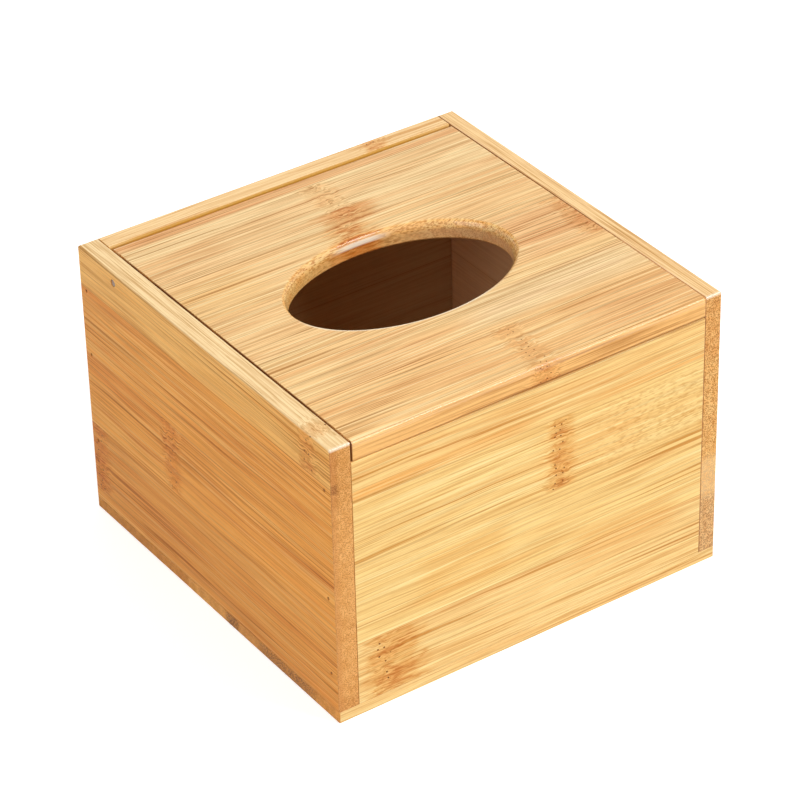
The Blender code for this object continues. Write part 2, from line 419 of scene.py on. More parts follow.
# Features a metre along, across and through the fibres.
SLOW_BENDS = (10.0, 40.0, 40.0)
QUICK_BENDS = (62.0, 170.0, 170.0)
HAIRS = (30.0, 2600.0, 2000.0)
BANDS = (9.0, 200.0, 140.0)
END_CLOUDS = (20.0, 420.0, 420.0)


def make_fibre_group() -> bpy.types.NodeTree:
    """Make the group that draws bamboo's fibres through the whole thickness of a strip.

    Returns:
        The group: dark and light streaks on the faces, and the bundles' dots where they are cut across.
    """
    part = ShaderPart(
        "bamboo_fibres",
        {"Place": "Vector", "Waver": "Float", "Fleck": "Float", "Bundle Count": "Float"},
        {
            "Streaks": "Float",
            "Gleams": "Float",
            "Hairs": "Float",
            "Bands": "Float",
            "Bundles": "Float",
            "Ends": "Float",
        },
    )
    slow_drift = 2.6 * MM
    quick_drift = 0.35 * MM
    drift_through = 0.6
    fleck_strength = 0.6
    thin_strength = 0.6
    maze_strength = 0.7
    bundles_along = 16.0
    maze_along = 22.0
    s = part.sketch
    place = part.given["Place"]
    slow = s.less(s.stretched(place, SLOW_BENDS), 0.5)
    quick = s.less(s.stretched(place, QUICK_BENDS), 0.5)
    drift = s.scaled(slow, slow_drift, s.times(quick, quick_drift))
    drift = s.times(drift, part.given["Waver"])
    bent = s.vector("ADD", place, s.join(0.0, drift, s.times(drift, drift_through)))
    flecks = s.times(FLECKS.draw(s, bent), fleck_strength)
    crowded = s.times(LONG_STREAKS.draw(s, bent), CROWDING.draw(s, bent))
    runs = s.most(crowded, s.times(THIN_STREAKS.draw(s, bent), thin_strength))
    mixed = s.plus(runs, s.times(s.less(flecks, runs), part.given["Fleck"]))
    hairs = s.stretched(bent, HAIRS, 2.0)
    bands = s.stretched(bent, BANDS, 3.0, 0.6)
    count = part.given["Bundle Count"]
    gap, shade = s.cells(s.vector("MULTIPLY", bent, s.join(bundles_along, count, count)), 0.8)
    size = s.scaled(shade, 0.22, 0.28)
    dots = s.ease(gap, s.less(size, 0.20), size, 1.0, 0.0)
    weave = s.join(maze_along, s.times(count, 1.9), s.times(count, 1.5))
    maze = s.ease(s.stretched(bent, weave), 0.46, 0.60)
    bundles = s.most(dots, s.times(maze, maze_strength))
    ends = s.stretched(bent, END_CLOUDS, 2.0)
    part.give(
        Streaks=mixed,
        Gleams=GLEAMS.draw(s, bent),
        Hairs=hairs,
        Bands=bands,
        Bundles=bundles,
        Ends=ends,
    )
    return part.tree


def make_node_mark_group() -> bpy.types.NodeTree:
    """Make the group that draws a bamboo node where it crosses one strip.

    Returns:
        The group: ragged brown patches, dark pores in two rows, and the bend it gives the fibres.
    """
    part = ShaderPart(
        "bamboo_node",
        {
            "Place": "Vector",
            "Centre": "Vector",
            "Half Span": "Float",
            "Reach": "Float",
            "Lean": "Float",
            "Cover": "Float",
            "Pore Share": "Float",
            "Pore Size": "Float",
            "Seed": "Float",
        },
        {"Smudge": "Float", "Halo": "Float", "Pores": "Float", "Bend": "Vector"},
    )
    stray_span = 4.0 * MM
    span_edge = 0.5 * MM
    pore_rows = (2.2 * MM, 2.9 * MM)
    bend_reach = 8.0 * MM
    bend_span = 4.0 * MM
    s = part.sketch
    local = s.vector("SUBTRACT", part.given["Place"], part.given["Centre"])
    along, across, depth = s.split(local)
    seed = s.times(part.given["Seed"], 7.31)
    stray = s.cloud(s.join(s.times(across, 120.0), seed, s.times(depth, 170.0)), 2.0)
    along = s.scaled(s.less(stray, 0.5), stray_span, along)
    sheet = s.plus(across, depth)
    off = s.size_of(across)
    half_span = part.given["Half Span"]
    span = s.ease(off, s.less(half_span, span_edge), half_span, 1.0, 0.0)
    turns = s.times(part.given["Seed"], 14.0)
    cell = s.join(s.scaled(along, 400.0, turns), s.scaled(sheet, 440.0, turns), 0.0)
    gap, chance = s.cells(cell, 0.6, flat=True)
    row = s.ease(s.size_of(along), *pore_rows, 1.0, 0.0)
    missing = s.less(1.0, part.given["Pore Share"])
    kept = s.ease(chance, missing, s.plus(missing, 0.05))
    size = s.times(s.scaled(chance, 0.05, 0.10), part.given["Pore Size"])
    size = s.scaled(size, kept, 0.002)
    pores = s.ease(gap, s.times(size, 0.7), size, 1.0, 0.0)
    pores = s.times(pores, s.times(row, span))
    leant = s.scaled(part.given["Lean"], part.given["Reach"], along)
    fade = s.ease(s.over(s.size_of(leant), part.given["Reach"]), 0.0, 1.7, 1.0, 0.0)
    coarse = s.cloud(s.join(s.times(along, 95.0), s.times(sheet, 430.0), seed), 2.0, 0.6)
    fine = s.cloud(s.join(s.times(along, 250.0), s.times(sheet, 1900.0), seed), 2.0)
    patch = s.scaled(s.less(fine, 0.5), 0.95, coarse)
    level = s.less(0.80, s.times(fade, part.given["Cover"]))
    smudge = s.ease(patch, level, s.plus(level, 0.30))
    smudge = s.times(smudge, s.times(s.ease(fade, 0.0, 0.45), span))
    halo = s.ease(s.scaled(patch, 1.3, s.less(fade, 0.65)), 0.20, 0.85)
    halo = s.times(halo, s.times(s.ease(fade, 0.0, 0.3), span))
    where = s.vector("ADD", s.vector("MULTIPLY", local, (260.0, 240.0, 380.0)), s.join(seed, seed, 0.0))
    swirl = s.less(s.cloud(where), 0.5)
    near = s.times(s.ease(s.size_of(along), 0.0, bend_reach, 1.0, 0.0), span)
    push = s.times(swirl, s.times(near, bend_span))
    part.give(Smudge=smudge, Halo=halo, Pores=pores, Bend=s.join(0.0, push, push))
    return part.tree


def make_arris_group() -> bpy.types.NodeTree:
    """Make the group that finds a board's edges.

    Returns:
        The group: how near a place is to the nearest edge of the board, from 0 to 1.
    """
    part = ShaderPart(
        "board_arris",
        {"Place": "Vector", "Middle": "Vector", "Half": "Vector", "Width": "Float"},
        {"Near": "Float"},
    )
    s = part.sketch
    off = s.vector("ABSOLUTE", s.vector("SUBTRACT", part.given["Place"], part.given["Middle"]))
    x, y, z = s.split(s.vector("SUBTRACT", part.given["Half"], off))
    least = s.least(x, y)
    most = s.most(x, y)
    second = s.most(least, s.least(most, z))
    part.give(Near=s.ease(second, 0.0, part.given["Width"], 1.0, 0.0))
    return part.tree


class Effects:
    """The shader groups that the materials share, each built at its first use."""

    makers: dict[str, Callable[[], bpy.types.NodeTree]] = {
        "strips": make_strip_group,
        "fibres": make_fibre_group,
        "node_mark": make_node_mark_group,
        "arris": make_arris_group,
    }
    made: dict[str, bpy.types.NodeTree] = {}

    @classmethod
    def get(cls, name: str) -> bpy.types.NodeTree:
        """Give a group, and build it first if it is new.

        Args:
            name: which of the makers' groups.

        Returns:
            The group.
        """
        if name not in cls.made:
            cls.made[name] = cls.makers[name]()
        return cls.made[name]


@dataclass(frozen=True)
class NodeMark:
    """A bamboo node across one strip, at a place in millimetres along and across the fibres."""

    along: float
    across: float
    half_span: float = 12.6
    reach: float = 5.0
    lean: float = 0.0
    cover: float = 0.36
    smudge: float = 0.8
    halo: float = 0.7
    pores: float = 0.9
    pore_share: float = 0.5
    pore_size: float = 1.0
    seed: float = 1.0


@dataclass(frozen=True)
class Patch:
    """A soft-edged stretch of a board, in millimetres along, across and, if given, through it."""

    along: tuple[float, float]
    across: tuple[float, float]
    strength: float = 0.9
    through: tuple[float, float] | None = None
    soft: float = 0.25

    def lay(self, s: Sketch, place: Socket) -> Socket:
        """Lay the patch on its board.

        Args:
            s: the material's sketch.
            place: the place along, across and through the board.

        Returns:
            The patch's strength inside it and 0 outside, with soft edges.
        """
        within: Feed = self.strength
        for value, ends in zip(s.split(place), (self.along, self.across, self.through)):
            if ends:
                low, high = (end * MM for end in ends)
                soft = (high - low) * self.soft
                within = s.times(within, s.ease(value, low, low + soft))
                within = s.times(within, s.ease(value, high - soft, high, 1.0, 0.0))
        return within


@dataclass(frozen=True)
class Strip:
    """One glued strip: how deep its tone is, from 0 to 1, and what its colours are multiplied by."""

    tone: float = 0.5
    tint: Colour = (1.0, 1.0, 1.0)


@dataclass(frozen=True)
class Tint:
    """A colour that comes in between two places on one of the box's axes, in millimetres."""

    axis: int
    start: float
    end: float
    colour: Colour
    strength: float
    on_ends: bool = False


@dataclass(frozen=True)
class Blush(Patch):
    """A patch of another colour. Most are the bamboo's own tones; some, laid as lines, are painted shade in
    slits and seams or painted highlights on edges and rims.
    """

    colour: Colour = field(default=(0.5, 0.25, 0.1), kw_only=True)


@dataclass(frozen=True)
class GlossBand:
    """A band of height, in millimetres, in which rounded rims carry thick varnish."""

    low: float
    high: float
    rise: float = 0.4
    fall: float = 0.1
    strength: float = 1.0
    on_ends_only: bool = False


@dataclass(frozen=True)
class PaintedRimHighlight:
    """A painted highlight: a thin pale line along the near edge of an oval mouth, in millimetres."""

    middle: tuple[float, float]
    half: tuple[float, float]
    inner_share: tuple[float, float] = (0.955, 0.975)
    outer_share: tuple[float, float] = (1.004, 1.020)
    nearness: tuple[float, float] = (-2.0, -12.0)
    rightness: tuple[float, float] = (8.0, 26.0)
    height: tuple[float, float] = (96.3, 96.6)
    colour: Colour = (1.0, 0.86, 0.62)
    strength: float = 0.75

    def lay(self, s: Sketch, axes: tuple[Socket, ...]) -> Socket:
        """Lay the line along the mouth's near edge.

        Args:
            s: the material's sketch.
            axes: the place on the box's own three axes.

        Returns:
            The line's strength on it and 0 elsewhere.
        """
        x, y = (s.less(axis, middle * MM) for axis, middle in zip(axes, self.middle))
        lean, straight = math.sin(MOUTH_TURN), math.cos(MOUTH_TURN)
        turned = (
            s.scaled(x, straight, s.times(y, lean)),
            s.scaled(y, straight, s.times(x, -lean)),
        )
        parts = [s.math("POWER", s.over(value, half * MM), 2.0) for value, half in zip(turned, self.half)]
        off = s.math("SQRT", s.plus(*parts))
        line = s.times(s.ease(off, *self.inner_share), s.ease(off, *self.outer_share, 1.0, 0.0))
        near = ((self.middle[1] + end) * MM for end in self.nearness)
        right = (end * MM for end in self.rightness)
        side = s.times(s.ease(axes[1], *near, 0.0, self.strength), s.ease(axes[0], *right, 1.0, 0.0))
        return s.times(line, side, s.ease(axes[2], *(end * MM for end in self.height)))


@dataclass(frozen=True)
class BambooFinish:
    """Clear varnish over bamboo: one board's colours and how its strips and nodes lie, in millimetres."""

    name: str
    grain: Grain
    pale: Colour
    honey: Colour
    deep: Colour
    streak: Colour
    gleam: Colour
    end_ground: Colour
    end_deep: Colour
    end_dot: Colour
    strip_start: float
    strip_width: float
    strips: tuple[Strip, ...]
    seed: float
    streak_strength: float = 0.75
    gleam_strength: float = 0.35
    band_strength: float = 2.4
    hair_strength: float = 0.32
    dot_strength: float = 0.6
    bundle_count: float = 1500.0
    arris_gloss: float = 0.2
    waver: float = 1.0
    fleck: float = 0.1
    marks: tuple[NodeMark, ...] = ()
    patches: tuple[Patch, ...] = ()
    cut_patches: tuple[Patch, ...] = ()
    tints: tuple[Tint, ...] = ()
    blushes: tuple[Blush, ...] = ()
    end_blushes: tuple[Blush, ...] = ()
    lines: tuple[Blush, ...] = ()
    quiet: tuple[Patch, ...] = ()
    end_strips: tuple[Colour, ...] = ()
    rim_gloss: GlossBand | None = None
    painted_rim_highlight: PaintedRimHighlight | None = None
    smudge: Colour = (0.72, 0.43, 0.25)
    halo: Colour = (0.90, 0.73, 0.54)
    pore: Colour = (0.19, 0.05, 0.008)
    roughness: float = 0.34
    streak_roughness: float = 0.10
    end_roughness: float = 0.06
    coat_roughness: float = 0.13
    thin_coat: float = 0.04
    specular: float = 0.06
    relief: float = 0.4
    relief_depth: float = 0.04
    arris_width: float = 1.5

    def make(self, low: Vector, high: Vector) -> bpy.types.Material:
        """Build the material for a board that lies between two corners.

        Args:
            low: the board's lowest corner.
            high: its highest corner.

        Returns:
            The finished material.
        """
        material = bpy.data.materials.new(self.name)
        material.use_nodes = True
        s = Sketch(material.node_tree)
        shader = material.node_tree.nodes["Principled BSDF"]
        where = s.node("ShaderNodeTexCoord")
        axes = s.split(where.outputs["Object"])
        place = s.join(*(axes[axis] for axis in self.grain.value))
        smudge, halo, pores, bend = self.lay_marks(s, place)
        strips = s.use(
            Effects.get("strips"),
            Place=place,
            Start=self.strip_start * MM,
            Width=self.strip_width * MM,
            Seed=self.seed,
        )
        fibres = s.use(
            Effects.get("fibres"),
            Place=s.vector("ADD", strips.outputs["Place"], bend),
            Waver=self.waver,
            Fleck=self.lay_flecks(s, place),
            Bundle_Count=self.bundle_count,
        )
        facing = s.split(s.node("ShaderNodeNewGeometry").outputs["Normal"])[self.grain.along]
        cut = s.ease(s.size_of(facing), 0.18, 0.55)
        for patch in self.cut_patches:
            cut = s.most(cut, patch.lay(s, place))
        face = self.paint_face(s, place, axes, fibres)
        end = self.paint_end(s, place, axes, fibres)
        colour = s.blend(cut, face, end)
        colour = s.blend(halo, colour, self.halo, "MULTIPLY")
        colour = s.blend(smudge, colour, self.smudge, "MULTIPLY")
        # The lines lay tone patches, and also painted shade in slits and seams and painted highlights on
        # edges and rims.
        for line in self.lines:
            colour = s.blend(line.lay(s, place), colour, line.colour)
        # Painted highlight along the mouth's near edge.
        if self.painted_rim_highlight:
            colour = s.blend(self.painted_rim_highlight.lay(s, axes), colour, self.painted_rim_highlight.colour)
        joint = s.times(strips.outputs["Joint"], s.ease(cut, 0.0, 1.0, 0.6, 0.15))
        colour = s.blend(joint, colour, self.streak, "MULTIPLY")
        colour = s.blend(pores, colour, self.pore)
        s.feed(shader.inputs["Base Color"], colour)
        arris = s.use(
            Effects.get("arris"),
            Place=where.outputs["Object"],
            Middle=(low + high) / 2,
            Half=(high - low) / 2,
            Width=self.arris_width * MM,
        )
        gloss = s.times(arris.outputs["Near"], self.arris_gloss)
        if self.rim_gloss:
            rim = self.lay_rim_gloss(s, axes[2])
            if self.rim_gloss.on_ends_only:
                rim = s.times(rim, cut)
            gloss = s.most(gloss, rim)
        self.lay_varnish(s, shader, fibres, pores, cut, gloss)
        return material

    def lay_rim_gloss(self, s: Sketch, height: Socket) -> Socket:
        """Lay the gloss of the rounded rims, which lie in one band of height.

        Args:
            s: the material's sketch.
            height: the place along the box's height.

        Returns:
            How thick the varnish is there.
        """
        band = self.rim_gloss
        rising = s.ease(height, band.low * MM, (band.low + band.rise) * MM)
        falling = s.ease(height, (band.high - band.fall) * MM, band.high * MM, 1.0, 0.0)
        return s.times(rising, falling, band.strength)

    def lay_tints(self, s: Sketch, axes: tuple[Socket, ...], colour: Socket, on_ends: bool) -> Socket:
        """Lay the tints of the long grain, or those of the end grain, over a colour.

        Args:
            s: the material's sketch.
            axes: the place on the box's own three axes.
            colour: the colour underneath.
            on_ends: whether to lay those of the end grain.

        Returns:
            The tinted colour.
        """
        for tint in self.tints:
            if tint.on_ends == on_ends:
                amount = s.ease(axes[tint.axis], tint.start * MM, tint.end * MM, 0.0, tint.strength)
                colour = s.blend(amount, colour, tint.colour)
        return colour

    def lay_marks(self, s: Sketch, place: Socket) -> tuple[Feed, Feed, Feed, Feed]:
        """Lay the board's nodes.

        Args:
            s: the material's sketch.
            place: the place along, across and through the board.

        Returns:
            The smudges, the halos, the pores and the fibres' bend, of all marks together.
        """
        smudge: Feed = 0.0
        halo: Feed = 0.0
        pores: Feed = 0.0
        bend: Feed = (0.0, 0.0, 0.0)
        for mark in self.marks:
            made = s.use(
                Effects.get("node_mark"),
                Place=place,
                Centre=(mark.along * MM, mark.across * MM, 0.0),
                Half_Span=mark.half_span * MM,
                Reach=mark.reach * MM,
                Lean=mark.lean,
                Cover=mark.cover,
                Pore_Share=mark.pore_share,
                Pore_Size=mark.pore_size,
                Seed=mark.seed,
            )
            smudge = s.most(smudge, s.times(made.outputs["Smudge"], mark.smudge))
            halo = s.most(halo, s.times(made.outputs["Halo"], mark.halo))
            pores = s.most(pores, s.times(made.outputs["Pores"], mark.pores))
            bend = s.vector("ADD", bend, made.outputs["Bend"])
        return smudge, halo, pores, bend

    def lay_flecks(self, s: Sketch, place: Socket) -> Feed:
        """Lay the flecks, from the board's own share and its patches.

        Args:
            s: the material's sketch.
            place: the place along, across and through the board.

        Returns:
            How flecked each place is, from 0 to 1.
        """
        amount: Feed = self.fleck
        for patch in self.patches:
            amount = s.most(amount, patch.lay(s, place))
        return amount

    def paint_face(
        self, s: Sketch, place: Socket, axes: tuple[Socket, ...], fibres: bpy.types.Node
    ) -> Socket:
        """Paint the long grain.

        Args:
            s: the material's sketch.
            place: the place along, across and through the board.
            axes: the place on the box's own three axes.
            fibres: the fibre group.

        Returns:
            The face's colour.
        """
        strips = self.lay_strips(s, place, [(*strip.tint, strip.tone) for strip in self.strips])
        bands = s.scaled(s.less(fibres.outputs["Bands"], 0.5), self.band_strength, 0.5)
        tone = s.math("ADD", bands, s.math("SUBTRACT", strips.outputs["Alpha"], 0.5), clamp=True)
        colour = s.blend(s.ease(tone, 0.0, 0.5), self.pale, self.honey)
        colour = s.blend(s.ease(tone, 0.5, 1.0), colour, self.deep)
        colour = s.blend(1.0, colour, strips.outputs["Color"], "MULTIPLY")
        uneven = s.ease(fibres.outputs["Bands"], 0.30, 0.60, 0.4, 1.0)
        for blush in self.blushes:
            colour = s.blend(s.times(blush.lay(s, place), uneven), colour, blush.colour)
        colour = s.blend(s.times(fibres.outputs["Gleams"], self.gleam_strength), colour, self.gleam)
        colour = self.lay_tints(s, axes, colour, False)
        clear: Feed = 1.0
        for patch in self.quiet:
            clear = s.times(clear, s.less(1.0, patch.lay(s, place)))
        hairs = s.ease(fibres.outputs["Hairs"], 0.41, 0.61, 0.0, self.hair_strength)
        colour = s.blend(s.times(hairs, clear), colour, self.streak, "MULTIPLY")
        runs = s.times(fibres.outputs["Streaks"], self.streak_strength)
        return s.blend(s.times(runs, clear), colour, self.streak, "MULTIPLY")

    def lay_strips(self, s: Sketch, place: Socket, colours: list[tuple]) -> bpy.types.Node:
        """Lay colours on the strips side by side.

        Args:
            s: the material's sketch.
            place: the place along, across and through the board.
            colours: red, green, blue and alpha of each strip.

        Returns:
            The stepped ramp.
        """
        count = len(colours)
        across = s.split(place)[1]
        from_start = s.less(across, self.strip_start * MM)
        share = s.over(from_start, self.strip_width * MM * count)
        ramp = s.node("ShaderNodeValToRGB")
        stops = ramp.color_ramp.elements
        ramp.color_ramp.interpolation = "CONSTANT"
        stops.remove(stops[-1])
        for index, colour in enumerate(colours):
            stop = stops[0] if index == 0 else stops.new(index / count)
            stop.color = colour
        s.feed(ramp.inputs[0], share)
        return ramp

    def paint_end(
        self, s: Sketch, place: Socket, axes: tuple[Socket, ...], fibres: bpy.types.Node
    ) -> Socket:
        """Paint the end grain: dark bundles on a lighter ground, in each strip's own tone.

        Args:
            s: the material's sketch.
            place: the place along, across and through the board.
            axes: the place on the box's own three axes.
            fibres: the fibre group.

        Returns:
            The end's colour.
        """
        ground = s.blend(s.ease(fibres.outputs["Ends"], 0.35, 0.65), self.end_ground, self.end_deep)
        colour = s.blend(s.times(fibres.outputs["Bundles"], self.dot_strength), ground, self.end_dot)
        if self.end_strips:
            strips = self.lay_strips(s, place, [(*tint, 1.0) for tint in self.end_strips])
            colour = s.blend(1.0, colour, strips.outputs["Color"], "MULTIPLY")
        ragged = s.scaled(fibres.outputs["Bundles"], 0.7, 0.3)
        for blush in self.end_blushes:
            colour = s.blend(s.times(blush.lay(s, place), ragged), colour, blush.colour)
        return self.lay_tints(s, axes, colour, True)

    def lay_varnish(
        self,
        s: Sketch,
        shader: bpy.types.Node,
        fibres: bpy.types.Node,
        pores: Feed,
        cut: Socket,
        gloss: Feed,
    ) -> None:
        """Set the gloss and the relief of the varnished face.

        Args:
            s: the material's sketch.
            shader: the Principled shader.
            fibres: the fibre group.
            pores: where the node's pores are.
            cut: where the fibres are cut across.
            gloss: where the varnish lies thick, as on rounded edges.
        """
        rough = s.scaled(fibres.outputs["Streaks"], self.streak_roughness, self.roughness)
        rough = s.scaled(cut, self.end_roughness, rough)
        sunk = s.most(s.times(fibres.outputs["Streaks"], 0.35), pores)
        sunk = s.most(sunk, s.times(cut, s.times(fibres.outputs["Bundles"], 0.9)))
        height = s.scaled(fibres.outputs["Hairs"], 0.25, s.less(1.0, sunk))
        s.supply(
            shader,
            Roughness=rough,
            Coat_Weight=s.ease(gloss, 0.0, 1.0, self.thin_coat, 1.0),
            Coat_Roughness=self.coat_roughness,
            Specular_IOR_Level=self.specular,
            Normal=s.relief(height, self.relief, self.relief_depth * MM),
        )


@dataclass(frozen=True)
class SteelFinish:
    """Plain steel, dulled by the varnish that ran over it."""

    name: str
    bright: Colour
    dull: Colour
    roughness: float
    seed: float
    blotches: tuple[float, float, float] = (900.0, 900.0, 900.0)
    grains: tuple[float, float, float] = (5200.0, 5200.0, 5200.0)
    grain_roughness: float = 0.3
    varnished_metal: float = 0.75

    def make(self) -> bpy.types.Material:
        """Build the material.

        Returns:
            The finished material.
        """
        material = bpy.data.materials.new(self.name)
        material.use_nodes = True
        s = Sketch(material.node_tree)
        shader = material.node_tree.nodes["Principled BSDF"]
        where = s.node("ShaderNodeTexCoord").outputs["Object"]
        shift = s.vector("ADD", where, (self.seed, 0.0, 0.0))
        blotch = s.ease(s.stretched(shift, self.blotches, 3.0), 0.38, 0.62)
        grit = s.stretched(shift, self.grains, 2.0)
        s.supply(
            shader,
            Base_Color=s.blend(blotch, self.bright, self.dull),
            Roughness=s.scaled(grit, self.grain_roughness, self.roughness),
            Metallic=s.ease(blotch, 0.0, 1.0, 1.0, self.varnished_metal),
            Normal=s.relief(grit, 0.6, 0.03 * MM),
        )
        return material


def link_piece(name: str, mesh: bpy.types.Mesh) -> bpy.types.Object:
    """Put a mesh into the scene as a named object at the origin.

    Args:
        name: the object's name.
        mesh: its mesh.

    Returns:
        The object.
    """
    piece = bpy.data.objects.new(name, mesh)
    bpy.context.scene.collection.objects.link(piece)
    return piece


def settle(piece: bpy.types.Object) -> bpy.types.Object:
    """Turn a piece with its modifiers into one plain mesh.

    Args:
        piece: the object to settle.

    Returns:
        The same object, with the evaluated mesh and no modifiers.
    """
    evaluated = piece.evaluated_get(bpy.context.evaluated_depsgraph_get())
    mesh = bpy.data.meshes.new_from_object(evaluated)
    piece.modifiers.clear()
    piece.data = mesh
    mesh.name = piece.name
    return piece


def smooth(piece: bpy.types.Object, angle: float = math.radians(32.0)) -> None:
    """Shade a piece smooth but for its sharp edges, with its flats kept flat.

    Args:
        piece: the object to shade.
        angle: the turn between faces past which an edge stays sharp.
    """
    piece.data.shade_smooth()
    piece.data.set_sharp_from_angle(angle=angle)
    weighted = piece.modifiers.new("flat_faces", "WEIGHTED_NORMAL")
    weighted.keep_sharp = True
    settle(piece)


@dataclass(frozen=True)
class SteelShape:
    """The profile of a turned steel piece, from its head down."""

    head_radius: float
    head_height: float
    chamfer: float
    shank_radius: float
    length: float
    tip_length: float
    tip_radius: float

    def grown(self, growth: float) -> "SteelShape":
        """Grow the profile all round, for the hole it sits in.

        Args:
            growth: how far it grows.

        Returns:
            The profile of the hole.
        """
        return replace(
            self,
            head_radius=self.head_radius + growth,
            head_height=self.head_height + growth,
            chamfer=0.0,
            shank_radius=self.shank_radius + growth,
            length=self.length + growth,
        )


@dataclass(frozen=True)
class SteelPlace:
    """Where a piece of steel is driven in: its head's middle, and the way out of the wood."""

    head: Vector
    outward: Vector


class SteelTree:
    """A geometry tree that sets turned steel pieces at points, each with its head facing outward."""

    sizes = (
        "Head Radius",
        "Head Height",
        "Chamfer",
        "Shank Radius",
        "Length",
        "Tip Length",
        "Tip Radius",
        "Raise",
    )
    segments = 28
    seed = 11
    crown = 0.3

    def __init__(self) -> None:
        """Build the tree once."""
        self.tree = bpy.data.node_groups.new("turned_steel_at_points", "GeometryNodeTree")
        face = self.tree.interface
        face.new_socket("Geometry", in_out="INPUT", socket_type="NodeSocketGeometry")
        for size in self.sizes:
            face.new_socket(size, in_out="INPUT", socket_type="NodeSocketFloat")
        face.new_socket("Material", in_out="INPUT", socket_type="NodeSocketMaterial")
        face.new_socket("Geometry", in_out="OUTPUT", socket_type="NodeSocketGeometry")
        s = Sketch(self.tree)
        given = s.node("NodeGroupInput").outputs
        stored = s.node("GeometryNodeInputNamedAttribute", data_type="FLOAT_VECTOR")
        stored.inputs["Name"].default_value = "outward"
        upright = s.node("FunctionNodeAlignRotationToVector", axis="Z")
        s.supply(upright, Vector=stored.outputs["Attribute"])
        chance = s.node("FunctionNodeRandomValue", data_type="FLOAT")
        s.supply(chance, Max=math.tau, Seed=self.seed)
        about = s.supply(s.node("FunctionNodeAxisAngleToRotation"), Angle=chance.outputs["Value"])
        turned = s.supply(
            s.node("FunctionNodeRotateRotation", rotation_space="LOCAL"),
            Rotation=upright.outputs["Rotation"],
            Rotate_By=about.outputs["Rotation"],
        )
        setting = s.supply(
            s.node("GeometryNodeInstanceOnPoints"),
            Points=given["Geometry"],
            Instance=self.turn(s, given),
            Rotation=turned.outputs["Rotation"],
        )
        real = s.supply(s.node("GeometryNodeRealizeInstances"), Geometry=setting.outputs["Instances"])
        paint = s.supply(
            s.node("GeometryNodeSetMaterial"), Geometry=real.outputs["Geometry"], Material=given["Material"]
        )
        s.supply(s.node("NodeGroupOutput"), Geometry=paint.outputs["Geometry"])

    def turn(self, s: Sketch, given: bpy.types.NodeOutputs) -> Socket:
        """Turn the profile: a line of rings swept into one closed mesh.

        Args:
            s: the tree's sketch.
            given: the tree's inputs.

        Returns:
            The turned mesh, with its head's top at zero and its shank down -Z.
        """
        radius = given["Head Radius"]
        chamfer = given["Chamfer"]
        head_foot = s.times(given["Head Height"], -1.0)
        foot = s.times(given["Length"], -1.0)
        rings = (
            (given["Raise"], s.less(radius, chamfer)),
            (s.times(chamfer, -self.crown), s.scaled(chamfer, -self.crown, radius)),
            (s.times(chamfer, -1.0), radius),
            (head_foot, radius),
            (head_foot, given["Shank Radius"]),
            (s.plus(foot, given["Tip Length"]), given["Shank Radius"]),
            (foot, given["Tip Radius"]),
        )
        line = s.node("GeometryNodeMeshLine")
        line.inputs["Count"].default_value = len(rings)
        index = s.node("GeometryNodeInputIndex").outputs[0]
        choices = []
        for column in (0, 1):
            choice = s.node("GeometryNodeIndexSwitch", data_type="FLOAT")
            while len(choice.index_switch_items) < len(rings):
                choice.index_switch_items.new()
            s.feed(choice.inputs["Index"], index)
            for number, ring in enumerate(rings):
                s.feed(choice.inputs[1 + number], ring[column])
            choices.append(choice.outputs[0])
        depth, radius = choices
        spots = s.join(0.0, 0.0, depth)
        moved = s.supply(s.node("GeometryNodeSetPosition"), Geometry=line.outputs["Mesh"], Position=spots)
        curve = s.supply(s.node("GeometryNodeMeshToCurve"), Mesh=moved.outputs["Geometry"])
        circle = s.node("GeometryNodeCurvePrimitiveCircle")
        circle.inputs["Resolution"].default_value = self.segments
        circle.inputs["Radius"].default_value = 1.0
        swept = s.supply(
            s.node("GeometryNodeCurveToMesh"),
            Curve=curve.outputs["Curve"],
            Profile_Curve=circle.outputs["Curve"],
            Scale=radius,
            Fill_Caps=True,
        )
        return swept.outputs["Mesh"]

    def set_out(
        self,
        name: str,
        places: Iterable[SteelPlace],
        shape: SteelShape,
        material: bpy.types.Material | None = None,
        rise: float = 0.0,
    ) -> bpy.types.Object:
        """Set steel pieces out as one plain mesh.

        Args:
            name: the object's name.
            places: where each piece goes.
            shape: the turned profile.
            material: the steel's finish.
            rise: how far the head's top is carried up, for a hole's cutter.

        Returns:
            The object that holds them all.
        """
        chosen = list(places)
        points = bpy.data.meshes.new(name)
        points.from_pydata([place.head for place in chosen], [], [])
        outward = points.attributes.new("outward", "FLOAT_VECTOR", "POINT")
        for entry, place in zip(outward.data, chosen):
            entry.vector = place.outward
        piece = link_piece(name, points)
        modifier = piece.modifiers.new("set_out", "NODES")
        modifier.node_group = self.tree
        values = (
            shape.head_radius,
            shape.head_height,
            shape.chamfer,
            shape.shank_radius,
            shape.length,
            shape.tip_length,
            shape.tip_radius,
            rise,
        )
        given = [item for item in self.tree.interface.items_tree if item.in_out == "INPUT"]
        sockets = {item.name: item.identifier for item in given}
        for size, value in zip(self.sizes, values):
            modifier[sockets[size]] = value
        modifier[sockets["Material"]] = material
        settle(piece)
        leftover = piece.data.attributes.get("outward")
        if leftover:
            piece.data.attributes.remove(leftover)
        close_and_face_out(piece.data)
        return piece


def close_and_face_out(mesh: bpy.types.Mesh) -> None:
    """Merge a mesh's doubles and turn its faces outward.

    Args:
        mesh: the mesh to mend.
    """
    bm = bmesh.new()
    bm.from_mesh(mesh)
    bmesh.ops.remove_doubles(bm, verts=bm.verts, dist=0.002 * MM)
    bmesh.ops.recalc_face_normals(bm, faces=bm.faces)
    bm.to_mesh(mesh)
    bm.free()


Eased = dict[tuple[Face, Face], float]


